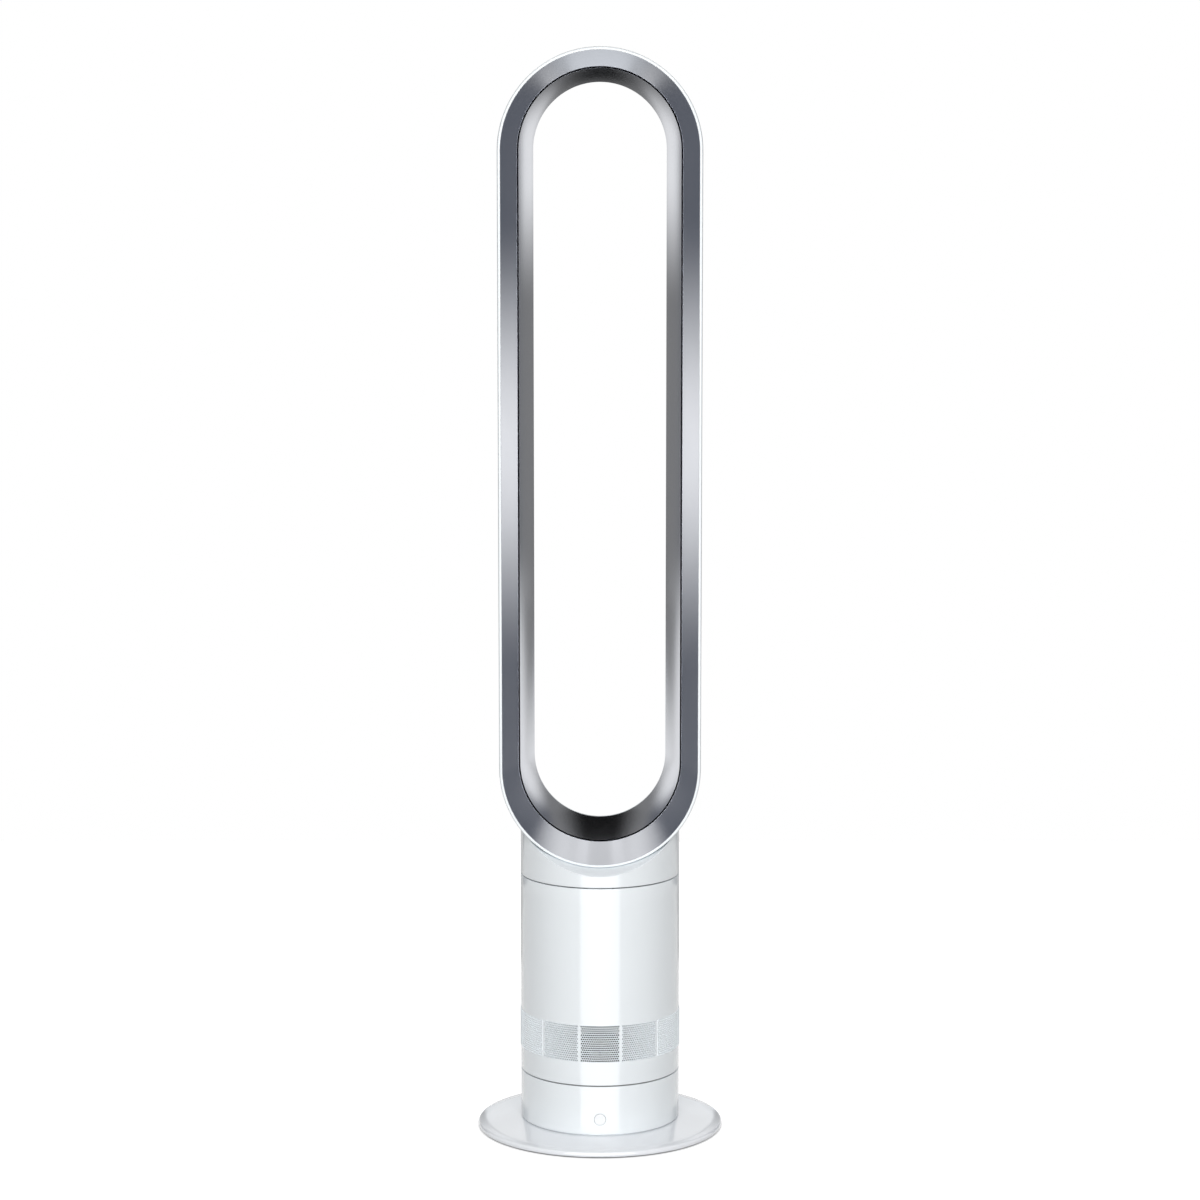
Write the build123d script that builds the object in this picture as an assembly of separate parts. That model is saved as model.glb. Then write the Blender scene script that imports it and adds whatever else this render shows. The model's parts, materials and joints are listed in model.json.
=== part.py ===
from build123d import *
from math import acos, cos, pi, radians, sin, sqrt, tan
import os

# Bladeless tower fan. Millimetres, +Z up, origin on the ground under the middle of the base plate.
# The front faces -Y. A hidden impeller in the round body blows air up the neck into a hollow
# stadium loop, and the air leaves forwards through a narrow slot that runs round the loop.

# ---- overall sizes ----
HEIGHT = 1007.0          # ground to the top of the loop
BASE_RADIUS = 115.0      # round base plate
BODY_RADIUS = 74.1       # casing, turning body and neck
LOOP_RADIUS = 93.0       # outside of the loop, from its spine
LOOP_LOW = 348.5         # centre of the lower half circle
LOOP_HIGH = HEIGHT - LOOP_RADIUS
LOOP_FRONT = -43.0       # front face of the loop
LOOP_THROAT_Y = 44.4     # where the inner band ends and the rear nose begins
LOOP_REAR = 67.0         # rearmost point of the loop
THROAT_RADIUS = 61.7     # narrowest opening, from the spine
SLOT_Y = -5.4            # mouth of the air slot
SLOT_INNER = 74.1        # slot's wall on the band
SLOT_OUTER = 75.3        # slot's wall on the flare

# ---- heights of the stacked pieces ----
FOOT_GAP = 1.2           # the feet hold the plate this far off the ground
PLATE_TOP = 9.6
DECK_LOW = 46.0          # deck across the top of the lower casing
DECK_TOP = 48.5
CASING_TOP = 56.0
TURN_LOW = 57.0          # underside of the turning head
TURN_TOP = 60.0
GRILLE_LOW = 79.5
GRILLE_HIGH = 114.0
MOTOR_DECK = 118.0
BUCKET_LOW = 150.0       # joint between shroud and motor bucket
BUCKET_TOP = 208.0
DUCT_FLANGE = 236.0
BODY_TOP = 243.3
NECK_LOW = 243.7

# ---- walls and fits ----
WALL = 2.2
CASING_INNER = BODY_RADIUS - WALL
SLIDE_GAP = 0.06         # running clearance on a radius
PART_GAP = 0.1           # clearance between assembled pieces

# ---- oscillation gears ----
MODULE = 1.0
TURN_TEETH = 88          # teeth a full circle of the head's gear would have
SECTOR_TEETH = 24        # teeth that the sector really has
PINION_TEETH = 16
PRESSURE_ANGLE = radians(20)
BACKLASH = 0.16
GEAR_DISTANCE = MODULE * (TURN_TEETH + PINION_TEETH) / 2
GEAR_LOW = 50.0
GEAR_HIGH = 54.0
SHAFT_RADIUS = 2.0

# ---- impeller and motor ----
BLADES = 9
VANES = 13
MOTOR_SHAFT = 3.0
HUB_OUTER = 36.0         # motor housing inside the bucket
HUB_INNER = 34.0
BUCKET_INNER = 56.2
BUCKET_OUTER = 58.4

# ---- button, gland and air port ----
BUTTON_Z = 25.0
BUTTON_RADIUS = 5.33
BUTTON_TRAVEL = 1.0
STEM_TIP = -66.1         # where the button's stem meets the switch's pin
BOARD_FACE = -61.6       # front of the upright board
GLAND_Z = 20.0
GLAND_BORE = 3.0
PORT_RADIUS = 32.0
PORT_Y = 6.0

# ---- motor's lead ----
LEAD_CIRCLE = 68.0
LEAD_Z = 185.6

# ---- inlet grille ----
STRIP_WIDTH = 2.2        # solid strips between the grille's fields
FIELD_PROUD = 0.5        # the fields stand this far out of the body

# ---- screw circles ----
COLUMNS = (50, 130, 230, 310)        # casing columns, in degrees
COLUMN_CIRCLE = 62.0
BOARD_CORNERS = ((-28, -24), (44, -24), (44, 28), (-28, 28))
FOOT_CIRCLE = 99.0
FEET = 6
HUB_SCREW_CIRCLE = 15.5
GEAR_SCREW_CIRCLE = 35.0
GEAR_SCREWS = (-30, 0, 30)           # from the sector's middle, in degrees
BODY_SCREW_CIRCLE = 68.8
TOP_SCREW_CIRCLE = 69.0
ISOLATOR_CIRCLE = 60.0
BUCKET_SCREW_CIRCLE = 60.6
EAR_SCREWS = (-21, 21)               # the oscillation motor's ears, along Y
NECK_SCREWS = ((-42, -14), (42, -14), (-42, 26), (42, 26))

UP = (Align.CENTER, Align.CENTER, Align.MIN)


# ---- helpers ----
def rod(radius, low, high, x=0.0, y=0.0):
    """Upright cylinder between two heights."""
    return Pos(x, y, low) * Cylinder(radius, high - low, align=UP)


def tube(outer, inner, low, high, x=0.0, y=0.0):
    """Upright tube between two heights."""
    return rod(outer, low, high, x, y) - rod(inner, low - 1, high + 1, x, y)


def turned(points):
    """Solid turned about Z from a closed (radius, height) outline."""
    return revolve(Plane.XZ * make_face(Polyline(*points, close=True)), Axis.Z)


def around(count, shape, first=0.0):
    """Copies of a shape, evenly spaced about Z."""
    return [Rot(0, 0, first + 360.0 * k / count) * shape for k in range(count)]


def polar(radius, degrees):
    """Point at a radius and angle."""
    return radius * cos(radians(degrees)), radius * sin(radians(degrees))


def group(shapes):
    """Separate solids that share one node."""
    return Compound(children=list(shapes))


def screw(x, y, tip, head, radius=1.3, up=True):
    """Pan-head screw between its tip and the far side of its head, with a hex socket."""
    head_height = 1.5 * radius
    inner = head - head_height if up else head + head_height
    low, high = min(tip, inner), max(tip, inner)
    shape = rod(radius, low, high, x, y) + rod(1.8 * radius, min(inner, head), max(inner, head), x, y)
    socket = extrude(RegularPolygon(0.8 * radius, 6), head_height / 2)
    return shape - Pos(x, y, head - (head_height / 2 if up else 0)) * socket


def involute(alpha):
    return tan(alpha) - alpha


def tooth_half_angle(radius, pitch, teeth):
    """Half the angle of an involute tooth at a radius."""
    base = pitch * cos(PRESSURE_ANGLE)
    at_pitch = pi / (2 * teeth) - BACKLASH / (2 * pitch)
    alpha = acos(min(1.0, base / max(radius, base)))
    return at_pitch + involute(PRESSURE_ANGLE) - involute(alpha)


def gear_points(teeth, kept, addendum):
    """Outline points of the kept teeth, in order, the first tooth's centre at angle 0."""
    pitch = MODULE * teeth / 2
    base = pitch * cos(PRESSURE_ANGLE)
    root = pitch - 1.25 * MODULE
    tip = pitch + addendum
    start = max(base, root)
    radii = [start + (tip - start) * k / 3 for k in range(4)]
    if root < base:
        radii = [root] + radii
    points = []
    for tooth in range(kept):
        middle = 2 * pi * tooth / teeth
        for side in (-1, 1):
            for radius in radii[::-side]:
                angle = middle + side * tooth_half_angle(radius, pitch, teeth)
                points.append((radius * cos(angle), radius * sin(angle)))
    return points


def loop_solid(section):
    """Carry an (r, y) section round the stadium: two straight sides and two half turns."""
    right = extrude(Pos(0, 0, LOOP_LOW) * section, LOOP_HIGH - LOOP_LOW, dir=(0, 0, 1))
    top = revolve(Pos(0, 0, LOOP_HIGH) * section, Axis((0, 0, LOOP_HIGH), (0, -1, 0)), 180)
    low = revolve(Pos(0, 0, LOOP_LOW) * section, Axis((0, 0, LOOP_LOW), (0, 1, 0)), 180)
    return right + mirror(right, about=Plane.YZ) + top + low


def saddle(radius):
    """Cylinder along Y round the lower arc's centre: what the loop's outside would fill."""
    return Pos(0, 0, LOOP_LOW) * Rot(90, 0, 0) * Cylinder(radius, 4 * BODY_RADIUS)


def saddle_height(radius, x):
    """Height of the saddle's underside above x."""
    return LOOP_LOW - sqrt(radius ** 2 - x ** 2)


# ---- fixed base ----
def base_plate():
    """Thin cone on a rounded rim, hollow and ribbed below, with feet sockets and board posts."""
    rim = BASE_RADIUS
    outside = turned([
        (0, FOOT_GAP), (rim - 0.7, FOOT_GAP), (rim, FOOT_GAP + 0.7), (rim, 4.3), (rim - 0.5, 5.2),
        (rim - 1.5, 5.6), (BODY_RADIUS + 1, PLATE_TOP - 0.1), (BODY_RADIUS, PLATE_TOP), (0, PLATE_TOP),
    ])
    hollow = turned([
        (0, 0), (rim - 3, 0), (rim - 3, 3.0), (BODY_RADIUS, PLATE_TOP - 2.4), (0, PLATE_TOP - 2.4),
    ])
    ribs = [Rot(0, 0, 15 * k) * Box(2 * rim - 4, 1.6, 30) for k in range(12)]
    sockets = around(FEET, rod(9.0, FOOT_GAP, 20, FOOT_CIRCLE, 0))
    bosses = [rod(5.5, FOOT_GAP, 20, *polar(COLUMN_CIRCLE, a)) for a in COLUMNS]
    plate = (outside - hollow) + [outside & piece for piece in ribs + sockets + bosses]
    plate -= around(FEET, rod(7.05, 0, FOOT_GAP + 1.2, FOOT_CIRCLE, 0))
    for angle in COLUMNS:
        x, y = polar(COLUMN_CIRCLE, angle)
        plate -= rod(1.75, 0, 20, x, y) + rod(3.4, 0, 5.0, x, y)
    for x, y in BOARD_CORNERS:
        plate += tube(3.0, 1.0, PLATE_TOP - 1, GLAND_Z, x, y)
    return plate


def foot_pads():
    """Rubber pads pressed into the plate's sockets."""
    pad = rod(7.0, 0, FOOT_GAP + 1.2, FOOT_CIRCLE, 0)
    return group(around(FEET, chamfer(pad.edges().group_by(Axis.Z)[0], 0.4)))


def base_screws():
    """Screws up through the plate into the casing's columns."""
    return group(screw(*polar(COLUMN_CIRCLE, a), 22.0, 5.0 - 2.4, 1.6, up=False) for a in COLUMNS)


def lower_casing():
    """Fixed round casing: wall, deck, screw columns, and holes for button and cable gland."""
    casing = tube(BODY_RADIUS, CASING_INNER, PLATE_TOP, CASING_TOP)
    casing += rod(CASING_INNER + 0.5, DECK_LOW, DECK_TOP) - rod(7.0, DECK_LOW - 1, DECK_TOP + 1)
    casing = chamfer(casing.edges().group_by(Axis.Z)[-1].sort_by(SortBy.RADIUS)[-1], 0.5)
    for angle in COLUMNS:
        x, y = polar(COLUMN_CIRCLE, angle)
        casing += rod(4.2, PLATE_TOP, DECK_LOW, x, y)
        casing -= rod(1.6, PLATE_TOP - 1, 24.0, x, y)
    casing -= rod(5.0, DECK_LOW - 1, DECK_TOP + 1, -GEAR_DISTANCE, 0)
    casing -= [rod(1.3, DECK_LOW - 1, DECK_TOP + 1, -GEAR_DISTANCE, y) for y in EAR_SCREWS]
    casing -= around(3, rod(1.3, DECK_LOW - 1, DECK_TOP + 1, HUB_SCREW_CIRCLE, 0), 30)
    casing -= Pos(0, -BODY_RADIUS, BUTTON_Z) * Rot(90, 0, 0) * Cylinder(BUTTON_RADIUS + 0.25, 12)
    casing -= Pos(0, BODY_RADIUS, GLAND_Z) * Rot(90, 0, 0) * Cylinder(5.0, 12)
    return casing


def glide_ring():
    """Slippery ring that the turning head slides on."""
    return tube(67.0, 62.5, DECK_TOP, TURN_LOW - PART_GAP) + tube(69.0, 62.5, DECK_TOP, DECK_TOP + 1.5)


def hub_post():
    """Hollow post that the head turns on, with a screwed flange and a groove for the retainer."""
    post = rod(11.0, DECK_TOP, 67.0) + rod(20.0, DECK_TOP, DECK_TOP + 2.5)
    post -= rod(7.0, DECK_TOP - 1, 68.0)
    post -= tube(12.0, 9.4, 64.2, 66.0)
    return post - around(3, rod(1.35, DECK_TOP - 1, 52.0, HUB_SCREW_CIRCLE, 0), 30)


def hub_retainer():
    """Open spring ring in the post's groove that keeps the head down."""
    return tube(15.5, 9.45, 64.25, 65.9) - Pos(12, 0, 65) * Box(10, 8, 4)


def hub_screws():
    return group(around(3, screw(HUB_SCREW_CIRCLE, 0, DECK_LOW - 1, DECK_TOP + 4.5), 30))


def osc_motor():
    """Slow synchronous motor under the deck, with two ears and a boss round its output shaft."""
    motor = rod(17.0, 28.0, DECK_LOW - 1.4) + rod(4.6, 40.0, GEAR_LOW - 0.5)
    motor += Pos(0, 0, DECK_LOW - 1.5) * Box(9, 50, 1.4, align=UP)
    motor += Pos(8, 0, 30.0) * Box(22, 14, 10, align=UP)
    motor -= [rod(1.4, 40, 50, 0, y) for y in EAR_SCREWS]
    return Pos(-GEAR_DISTANCE, 0, 0) * (motor - rod(SHAFT_RADIUS + SLIDE_GAP, 38.0, 60.0))


def osc_motor_screws():
    return group(screw(-GEAR_DISTANCE, y, DECK_TOP, DECK_LOW - 3.3, 1.2, up=False) for y in EAR_SCREWS)


def main_board():
    """Control board on the plate's four posts."""
    board = Pos(8, 2, GLAND_Z) * Box(82, 62, 1.6, align=UP)
    return board - [rod(1.4, GLAND_Z - 1, GLAND_Z + 3, x, y) for x, y in BOARD_CORNERS]


def board_parts():
    """What stands on the board: transformer, capacitors, heat sink, relay and plug sockets."""
    top = GLAND_Z + 1.6
    transformer = Pos(22, 12, top) * Box(24, 20, 18, align=UP)
    relay = Pos(-8, 16, top) * Box(15, 11, 12, align=UP)
    power_chip = Pos(-6, -8, top) * Box(12, 12, 2, align=UP)
    supply_plug = Pos(2, 27, top) * Box(14, 7, 9, align=UP)
    motor_plug = Pos(16, -20, top) * Box(18, 6, 8, align=UP)
    sink = Pos(38, -4, top) * Box(5, 22, 18, align=UP)
    sink -= [Pos(40, -4 + 4 * k, top + 3) * Box(4, 1.6, 16, align=UP) for k in range(-2, 3)]
    cans = [rod(5.0, top, top + 16, 8, -4), rod(4.0, top, top + 12, 20, -8)]
    return group([transformer, relay, power_chip, supply_plug, motor_plug, sink] + cans)


def board_screws():
    return group(screw(x, y, 12.0, GLAND_Z + 3.2, 1.0) for x, y in BOARD_CORNERS)


def cable_gland():
    """Bushing through the casing's rear wall, with a bore for a mains lead."""
    length = 12.0
    gland = Cylinder(4.9, length) + Pos(0, 0, -length / 2 + 1) * Cylinder(6.5, 2.0)
    gland += Pos(0, 0, length / 2 - 3.6) * Cylinder(6.2, 1.6)
    gland -= Cylinder(GLAND_BORE, 2 * length)
    return Pos(0, BODY_RADIUS - 1.8, GLAND_Z) * Rot(90, 0, 0) * gland


def front_board():
    """Upright board behind the front wall, with the power switch and the remote receiver."""
    board = Pos(0, BOARD_FACE + 0.8, 13.0) * Box(38, 1.6, 30, align=UP)
    switch_face = STEM_TIP + BUTTON_TRAVEL + 0.4
    switch = Pos(0, (switch_face + BOARD_FACE) / 2, BUTTON_Z) * Box(7, BOARD_FACE - switch_face, 7)
    pin_way = Pos(0, switch_face, BUTTON_Z) * Rot(90, 0, 0) * Cylinder(1.55, 3.4)
    receiver = Pos(13, BOARD_FACE - 2.5, 17.0) * Box(6, 5, 7)
    feet = [Pos(x, -58.5, PLATE_TOP) * Box(4, 3.0, 12, align=UP) for x in (-15, 15)]
    return board + (switch - pin_way) + receiver + feet


def led_display():
    """Two-digit display behind the casing's thin front wall."""
    return Pos(0, BOARD_FACE - 4.0, 37.0) * Box(18, 8, 10)


def lead(points, bends, radius):
    """Flexible lead along straight runs joined by round bends."""
    path = FilletPolyline(*points, radius=bends)
    start = Vector(*points[0])
    section = Plane(origin=start, z_dir=Vector(*points[1]) - start) * Circle(radius)
    return sweep(section, path=path)


def board_lead():
    """Wires from the board up into the hollow hub post."""
    route = [(16, -20, 29.6), (16, -20, 38), (0, 0, 45), (0, 0, 63)]
    return lead(route, [4.0, 6.0], 1.5)


# ---- power button ----
def power_button():
    """Round button flush with the casing, its edge rounded, and its flange behind the wall."""
    face = Cylinder(BUTTON_RADIUS, 4.6)
    face = fillet(face.edges().group_by(Axis.Z)[-1], 0.5)
    stem = Pos(0, 0, -4.0) * Cylinder(2.0, 4.0) + Pos(0, 0, -2.75) * Cylinder(6.6, 1.2)
    return Pos(0, -BODY_RADIUS + 2.0, BUTTON_Z) * Rot(90, 0, 0) * (face + stem)


def switch_plunger():
    """Pin of the switch that the button's stem pushes, standing out by more than the travel."""
    length = BUTTON_TRAVEL + 0.9
    return Pos(0, STEM_TIP + length / 2, BUTTON_Z) * Rot(90, 0, 0) * Cylinder(1.5, length)


# ---- oscillation drive ----
def drive_pinion():
    """Small gear at the left of the hub, in mesh with the head's sector."""
    outline = gear_points(PINION_TEETH, PINION_TEETH, MODULE)
    gear = extrude(make_face(Polyline(*outline, close=True)), GEAR_HIGH - GEAR_LOW + 0.6)
    gear = Rot(0, 0, 180.0 / PINION_TEETH) * gear - rod(SHAFT_RADIUS, -1, 8)
    return Pos(-GEAR_DISTANCE, 0, GEAR_LOW) * gear


def pinion_shaft():
    return rod(SHAFT_RADIUS, 38.2, GEAR_HIGH + 1.4, -GEAR_DISTANCE, 0)


def turntable_gear():
    """Toothed sector under the head, centred on the left, with a raised web that carries it."""
    pitch_angle = 360.0 / TURN_TEETH
    inner = 30.0
    thick = GEAR_HIGH - GEAR_LOW
    outline = gear_points(TURN_TEETH, SECTOR_TEETH, 0.9 * MODULE)
    half = pitch_angle * (SECTOR_TEETH - 1) / 2
    end = 2 * half
    sector = extrude(make_face([
        Polyline(*outline),
        Line(outline[-1], polar(inner, end)),
        ThreePointArc(polar(inner, end), polar(inner, half), polar(inner, 0)),
        Line(polar(inner, 0), outline[0]),
    ]), thick)
    wedge_corners = [(0, 0), polar(90, 0), polar(90, half), polar(90, end)]
    wedge = extrude(make_face(Polyline(*wedge_corners, close=True)), 20)
    web = tube(40.0, inner, 0, TURN_LOW - GEAR_HIGH) & wedge
    gear = sector + Pos(0, 0, thick) * web
    gear -= [rod(1.2, -1, 20, *polar(GEAR_SCREW_CIRCLE, half + a)) for a in GEAR_SCREWS]
    return Pos(0, 0, GEAR_LOW) * Rot(0, 0, 180.0 - half - pitch_angle / 2) * gear


# ---- turning head: floor and body ----
def gear_screws():
    middle = 180.0 - 180.0 / TURN_TEETH
    places = [polar(GEAR_SCREW_CIRCLE, middle + a) for a in GEAR_SCREWS]
    return group(screw(x, y, 51.0, TURN_TOP + 1.8, 1.2) for x, y in places)


def turntable():
    """Floor of the head: disc, hub sleeve and stiffening ribs, with recesses for the body screws."""
    floor = rod(CASING_INNER - PART_GAP, TURN_LOW, TURN_TOP) + rod(15.0, TURN_LOW, 64.15)
    rib = Pos(38, 0, TURN_TOP) * Box(50, 1.8, 3.0, align=UP)
    floor += around(6, rib, 10)
    floor -= rod(11.0 + SLIDE_GAP, TURN_LOW - 1, 66.0)
    middle = 180.0 - 180.0 / TURN_TEETH
    places = [polar(GEAR_SCREW_CIRCLE, middle + a) for a in GEAR_SCREWS]
    floor -= [rod(1.25, TURN_LOW - 1, TURN_TOP + 5, x, y) for x, y in places]
    recess = rod(1.3, TURN_LOW - 1, TURN_TOP + 1, BODY_SCREW_CIRCLE, 0)
    recess += rod(2.5, TURN_LOW - 1, TURN_LOW + 2.0, BODY_SCREW_CIRCLE, 0)
    return floor - around(4, recess, 45)


def body_screws():
    """Recessed screws up through the turntable into the body shell's foot flange."""
    return group(around(4, screw(BODY_SCREW_CIRCLE, 0, 62.5, TURN_LOW + 0.1, 1.2, up=False), 45))


def grille_bars(width):
    """Six bars across the body whose ends are the solid strips between the grille's fields."""
    bar = Pos(0, 0, GRILLE_LOW - 1) * Box(200, width, GRILLE_HIGH - GRILLE_LOW + 2, align=UP)
    return [Rot(0, 0, 15 + 30 * k) * bar for k in range(6)]


def body_shell():
    """Tall round cover with twelve inlet windows, a foot flange and two inner ledges."""
    shell = tube(BODY_RADIUS, CASING_INNER, TURN_LOW, BODY_TOP)
    for face in (0, -1):
        rim = shell.edges().group_by(Axis.Z)[face].sort_by(SortBy.RADIUS)[-1]
        shell = chamfer(rim, 0.4)
    window = tube(BODY_RADIUS + 1, CASING_INNER - 1, GRILLE_LOW, GRILLE_HIGH)
    shell -= window - grille_bars(STRIP_WIDTH)
    shell += tube(CASING_INNER + 0.5, 65.0, TURN_TOP, TURN_TOP + 3.0)
    shell += tube(CASING_INNER + 0.5, 69.4, MOTOR_DECK - 1.4, MOTOR_DECK)
    shell += tube(CASING_INNER + 0.5, 66.0, DUCT_FLANGE - 4.0, DUCT_FLANGE)
    shell -= around(4, rod(1.2, TURN_TOP - 1, TURN_TOP + 2.5, BODY_SCREW_CIRCLE, 0), 45)
    return shell - around(4, rod(1.25, DUCT_FLANGE - 3.5, DUCT_FLANGE + 1, TOP_SCREW_CIRCLE, 0), 45)


def inlet_grille():
    """Liner ring whose twelve raised fields fill the shell's windows; the small holes are left plain."""
    liner = tube(CASING_INNER - 0.05, 70.6, GRILLE_LOW - 2.4, GRILLE_HIGH + 2.4)
    fields = tube(BODY_RADIUS + FIELD_PROUD, 71.2, GRILLE_LOW + 0.05, GRILLE_HIGH - 0.05)
    return liner + (fields - grille_bars(STRIP_WIDTH + 0.2))


def intake_foam():
    """Ring of sound-soaking foam on the floor of the intake chamber."""
    return tube(64.0, 18.0, TURN_TOP + 3.1, 71.0)


# ---- turning head: fan unit ----
def motor_deck():
    """Partition between intake and pressure chambers that carries the fan unit."""
    deck = tube(CASING_INNER - PART_GAP, 47.0, MOTOR_DECK, MOTOR_DECK + 3)
    deck -= rod(1.4, MOTOR_DECK - 1, MOTOR_DECK + 4, LEAD_CIRCLE, 0)
    return deck - around(3, rod(2.6, MOTOR_DECK - 1, MOTOR_DECK + 4, ISOLATOR_CIRCLE, 0), 90)


def isolators():
    """Rubber bushes that keep the fan unit's shake out of the body."""
    bush = rod(5.5, MOTOR_DECK + 3, 127.0) + rod(2.5, 115.0, 129.0) + rod(4.5, 115.6, MOTOR_DECK)
    return group(around(3, Pos(ISOLATOR_CIRCLE, 0, 0) * bush, 90))


def inlet_seal():
    """Soft lip between the partition and the shroud's mouth."""
    return tube(47.0, 39.3, MOTOR_DECK + 0.5, MOTOR_DECK + 2.5)


def impeller_shroud():
    """Flared cover that the blades run under, with a mounting flange and a joint flange."""
    shroud = turned([
        (36.8, MOTOR_DECK), (37.2, 126), (45.0, 136.5), (54.6, 146), (56.2, BUCKET_LOW),
        (58.4, BUCKET_LOW), (56.8, 144.6), (47.2, 134.7), (39.3, 125), (39.2, MOTOR_DECK),
    ])
    shroud += tube(66.0, 39.9, 127.0, 129.5) + tube(62.5, 56.4, BUCKET_LOW - 2, BUCKET_LOW)
    shroud -= around(3, rod(2.6, 126.0, 131.0, ISOLATOR_CIRCLE, 0), 90)
    return shroud - around(6, rod(1.2, BUCKET_LOW - 3, BUCKET_LOW + 1, BUCKET_SCREW_CIRCLE, 0), 30)


def motor_bucket():
    """Outer wall, motor housing and the guide vanes between them, moulded as one."""
    bucket = tube(BUCKET_OUTER, BUCKET_INNER, BUCKET_LOW, BUCKET_TOP)
    bucket += tube(62.5, BUCKET_OUTER - 0.4, BUCKET_LOW, BUCKET_LOW + 2.5)
    bucket += tube(HUB_OUTER, HUB_INNER, 152.6, 196.0) + tube(HUB_OUTER, 8.05, 152.6, 155.0)
    bucket += tube(11.0, 8.05, 154.5, 160.0)
    vane = Pos(46.2, 0, 172.0) * Rot(14, 0, 0) * Box(BUCKET_INNER - HUB_OUTER + 1.2, 1.6, 30)
    vane &= tube(BUCKET_OUTER - 0.5, HUB_OUTER - 0.5, 150, 200)
    bucket += around(VANES, vane, 180.0 / VANES)
    bucket -= Pos(46, 0, LEAD_Z) * Rot(0, 90, 0) * Cylinder(1.4, 30)
    return bucket - around(6, rod(1.1, BUCKET_LOW - 1, BUCKET_LOW + 3, BUCKET_SCREW_CIRCLE, 0), 30)


def bucket_screws():
    bolt = screw(BUCKET_SCREW_CIRCLE, 0, BUCKET_LOW + 2.4, BUCKET_LOW - 3.5, 1.0, up=False)
    return group(around(6, bolt, 30))


def motor_stator():
    """Laminated ring with six winding slots, held in the motor housing."""
    return tube(HUB_INNER - 0.05, 13.4, 164.0, 180.0) - around(6, rod(5.6, 160, 190, 22.0, 0))


def stator_coils():
    return group(around(6, rod(5.4, 160.5, 182.5, 22.0, 0)))


def motor_bearings():
    """Ball bearings, lower in the bucket and upper in the cover."""
    return group([tube(8.0, MOTOR_SHAFT + 0.05, low, low + 4.7) for low in (155.2, 184.0)])


def motor_cover():
    """Bullet-shaped tail of the motor housing, with the upper bearing's seat."""
    cover = turned([
        (HUB_OUTER, 196.0), (35.0, 202.5), (31.8, 209.0), (25.5, 215.0), (15.0, 220.0), (0, 222.0),
        (0, 219.8), (14.2, 217.8), (24.2, 213.2), (30.0, 207.8), (33.0, 201.8), (33.9, 196.0),
    ])
    cover += tube(HUB_INNER - 0.1, 32.2, 189.0, 197.0) + tube(33.0, 8.05, 188.7, 190.7)
    return cover + tube(11.0, 8.05, 184.0, 189.5)


def motor_lead():
    """Wires from the hub post, up beside the fan unit and in between two guide vanes."""
    out = LEAD_CIRCLE
    route = [(0, 0, 64.5), (0, 0, 78), (out, 0, 86), (out, 0, LEAD_Z), (26, 0, LEAD_Z)]
    return lead(route, [6.0, 10.0, 5.0], 1.2)


# ---- impeller ----
def impeller():
    """Conical hub with backward-curved blades that run close under the shroud."""
    hub = turned([
        (MOTOR_SHAFT, 125.0), (9.0, 125.0), (14.0, 128.0), (24.0, 137.0), (35.0, 146.0), (44.5, 151.4),
        (38.0, 151.4), (32.0, 147.5), (22.0, 139.5), (12.5, 131.0), (8.0, 129.0), (7.0, 151.4),
        (MOTOR_SHAFT, 151.4),
    ])
    passage = turned([
        (8.5, 124.0), (13.0, 127.5), (23.5, 137.4), (34.5, 146.4), (44.0, 151.2), (54.8, 149.6),
        (53.4, 146.2), (43.6, 137.0), (36.0, 126.8), (35.8, 121.0),
    ])
    pressure_side = ThreePointArc((8.0, 0.0), (32.0, 9.0), (52.0, 30.0))
    suction_side = ThreePointArc((52.9, 28.6), (33.0, 7.6), (8.0, -1.6))
    ends = [Line((52.0, 30.0), (52.9, 28.6)), Line((8.0, -1.6), (8.0, 0.0))]
    strip = make_face([pressure_side, ends[0], suction_side, ends[1]])
    blade = (Pos(0, 0, 120.0) * extrude(strip, 34.0)) & passage
    return hub + around(BLADES, blade)


def motor_shaft():
    return rod(MOTOR_SHAFT, 119.4, 190.0)


def rotor_magnet():
    return tube(12.8, MOTOR_SHAFT, 163.0, 181.0)


def impeller_nut():
    """Hexagon nut that clamps the impeller on its shaft."""
    return Pos(0, 0, 120.6) * extrude(RegularPolygon(6.0, 6), 4.4) - rod(MOTOR_SHAFT, 118, 126)


# ---- turning head: outlet and neck ----
def outlet_duct():
    """Duct from the bucket up to the neck, hung on the shell's upper ledge."""
    duct = turned([
        (58.6, 203.0), (58.6, 214.0), (46.0, DUCT_FLANGE), (46.0, DUCT_FLANGE + 2),
        (CASING_INNER - PART_GAP, DUCT_FLANGE + 2), (CASING_INNER - PART_GAP, DUCT_FLANGE),
        (48.6, DUCT_FLANGE), (60.6, 214.6), (60.6, 203.0),
    ])
    return duct - around(4, rod(1.3, DUCT_FLANGE - 1, DUCT_FLANGE + 3, TOP_SCREW_CIRCLE, 0), 45)


def top_ring():
    """Ring at the body's top, with three lugs that lock the neck on."""
    low = DUCT_FLANGE + 2
    ring = tube(CASING_INNER - PART_GAP, 62.0, low, low + 3.5)
    lug = tube(68.6, 66.0, low, 252.0) + tube(70.6, 66.0, 250.2, 252.0)
    ring += around(3, lug & Pos(68, 0, 245) * Box(20, 22, 40), 30)
    recess = rod(1.3, low - 1, low + 5) + rod(2.4, low + 1.7, low + 5)
    recess = Pos(TOP_SCREW_CIRCLE, 0, 0) * recess
    return ring - around(4, recess, 45)


def top_screws():
    return group(around(4, screw(TOP_SCREW_CIRCLE, 0, DUCT_FLANGE - 3.0, DUCT_FLANGE + 5.5, 1.2), 45))


def duct_seal():
    """Soft ring that seals the neck's duct on the body's duct."""
    return tube(52.0, 46.0, DUCT_FLANGE + 2, NECK_LOW + 0.2)


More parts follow.
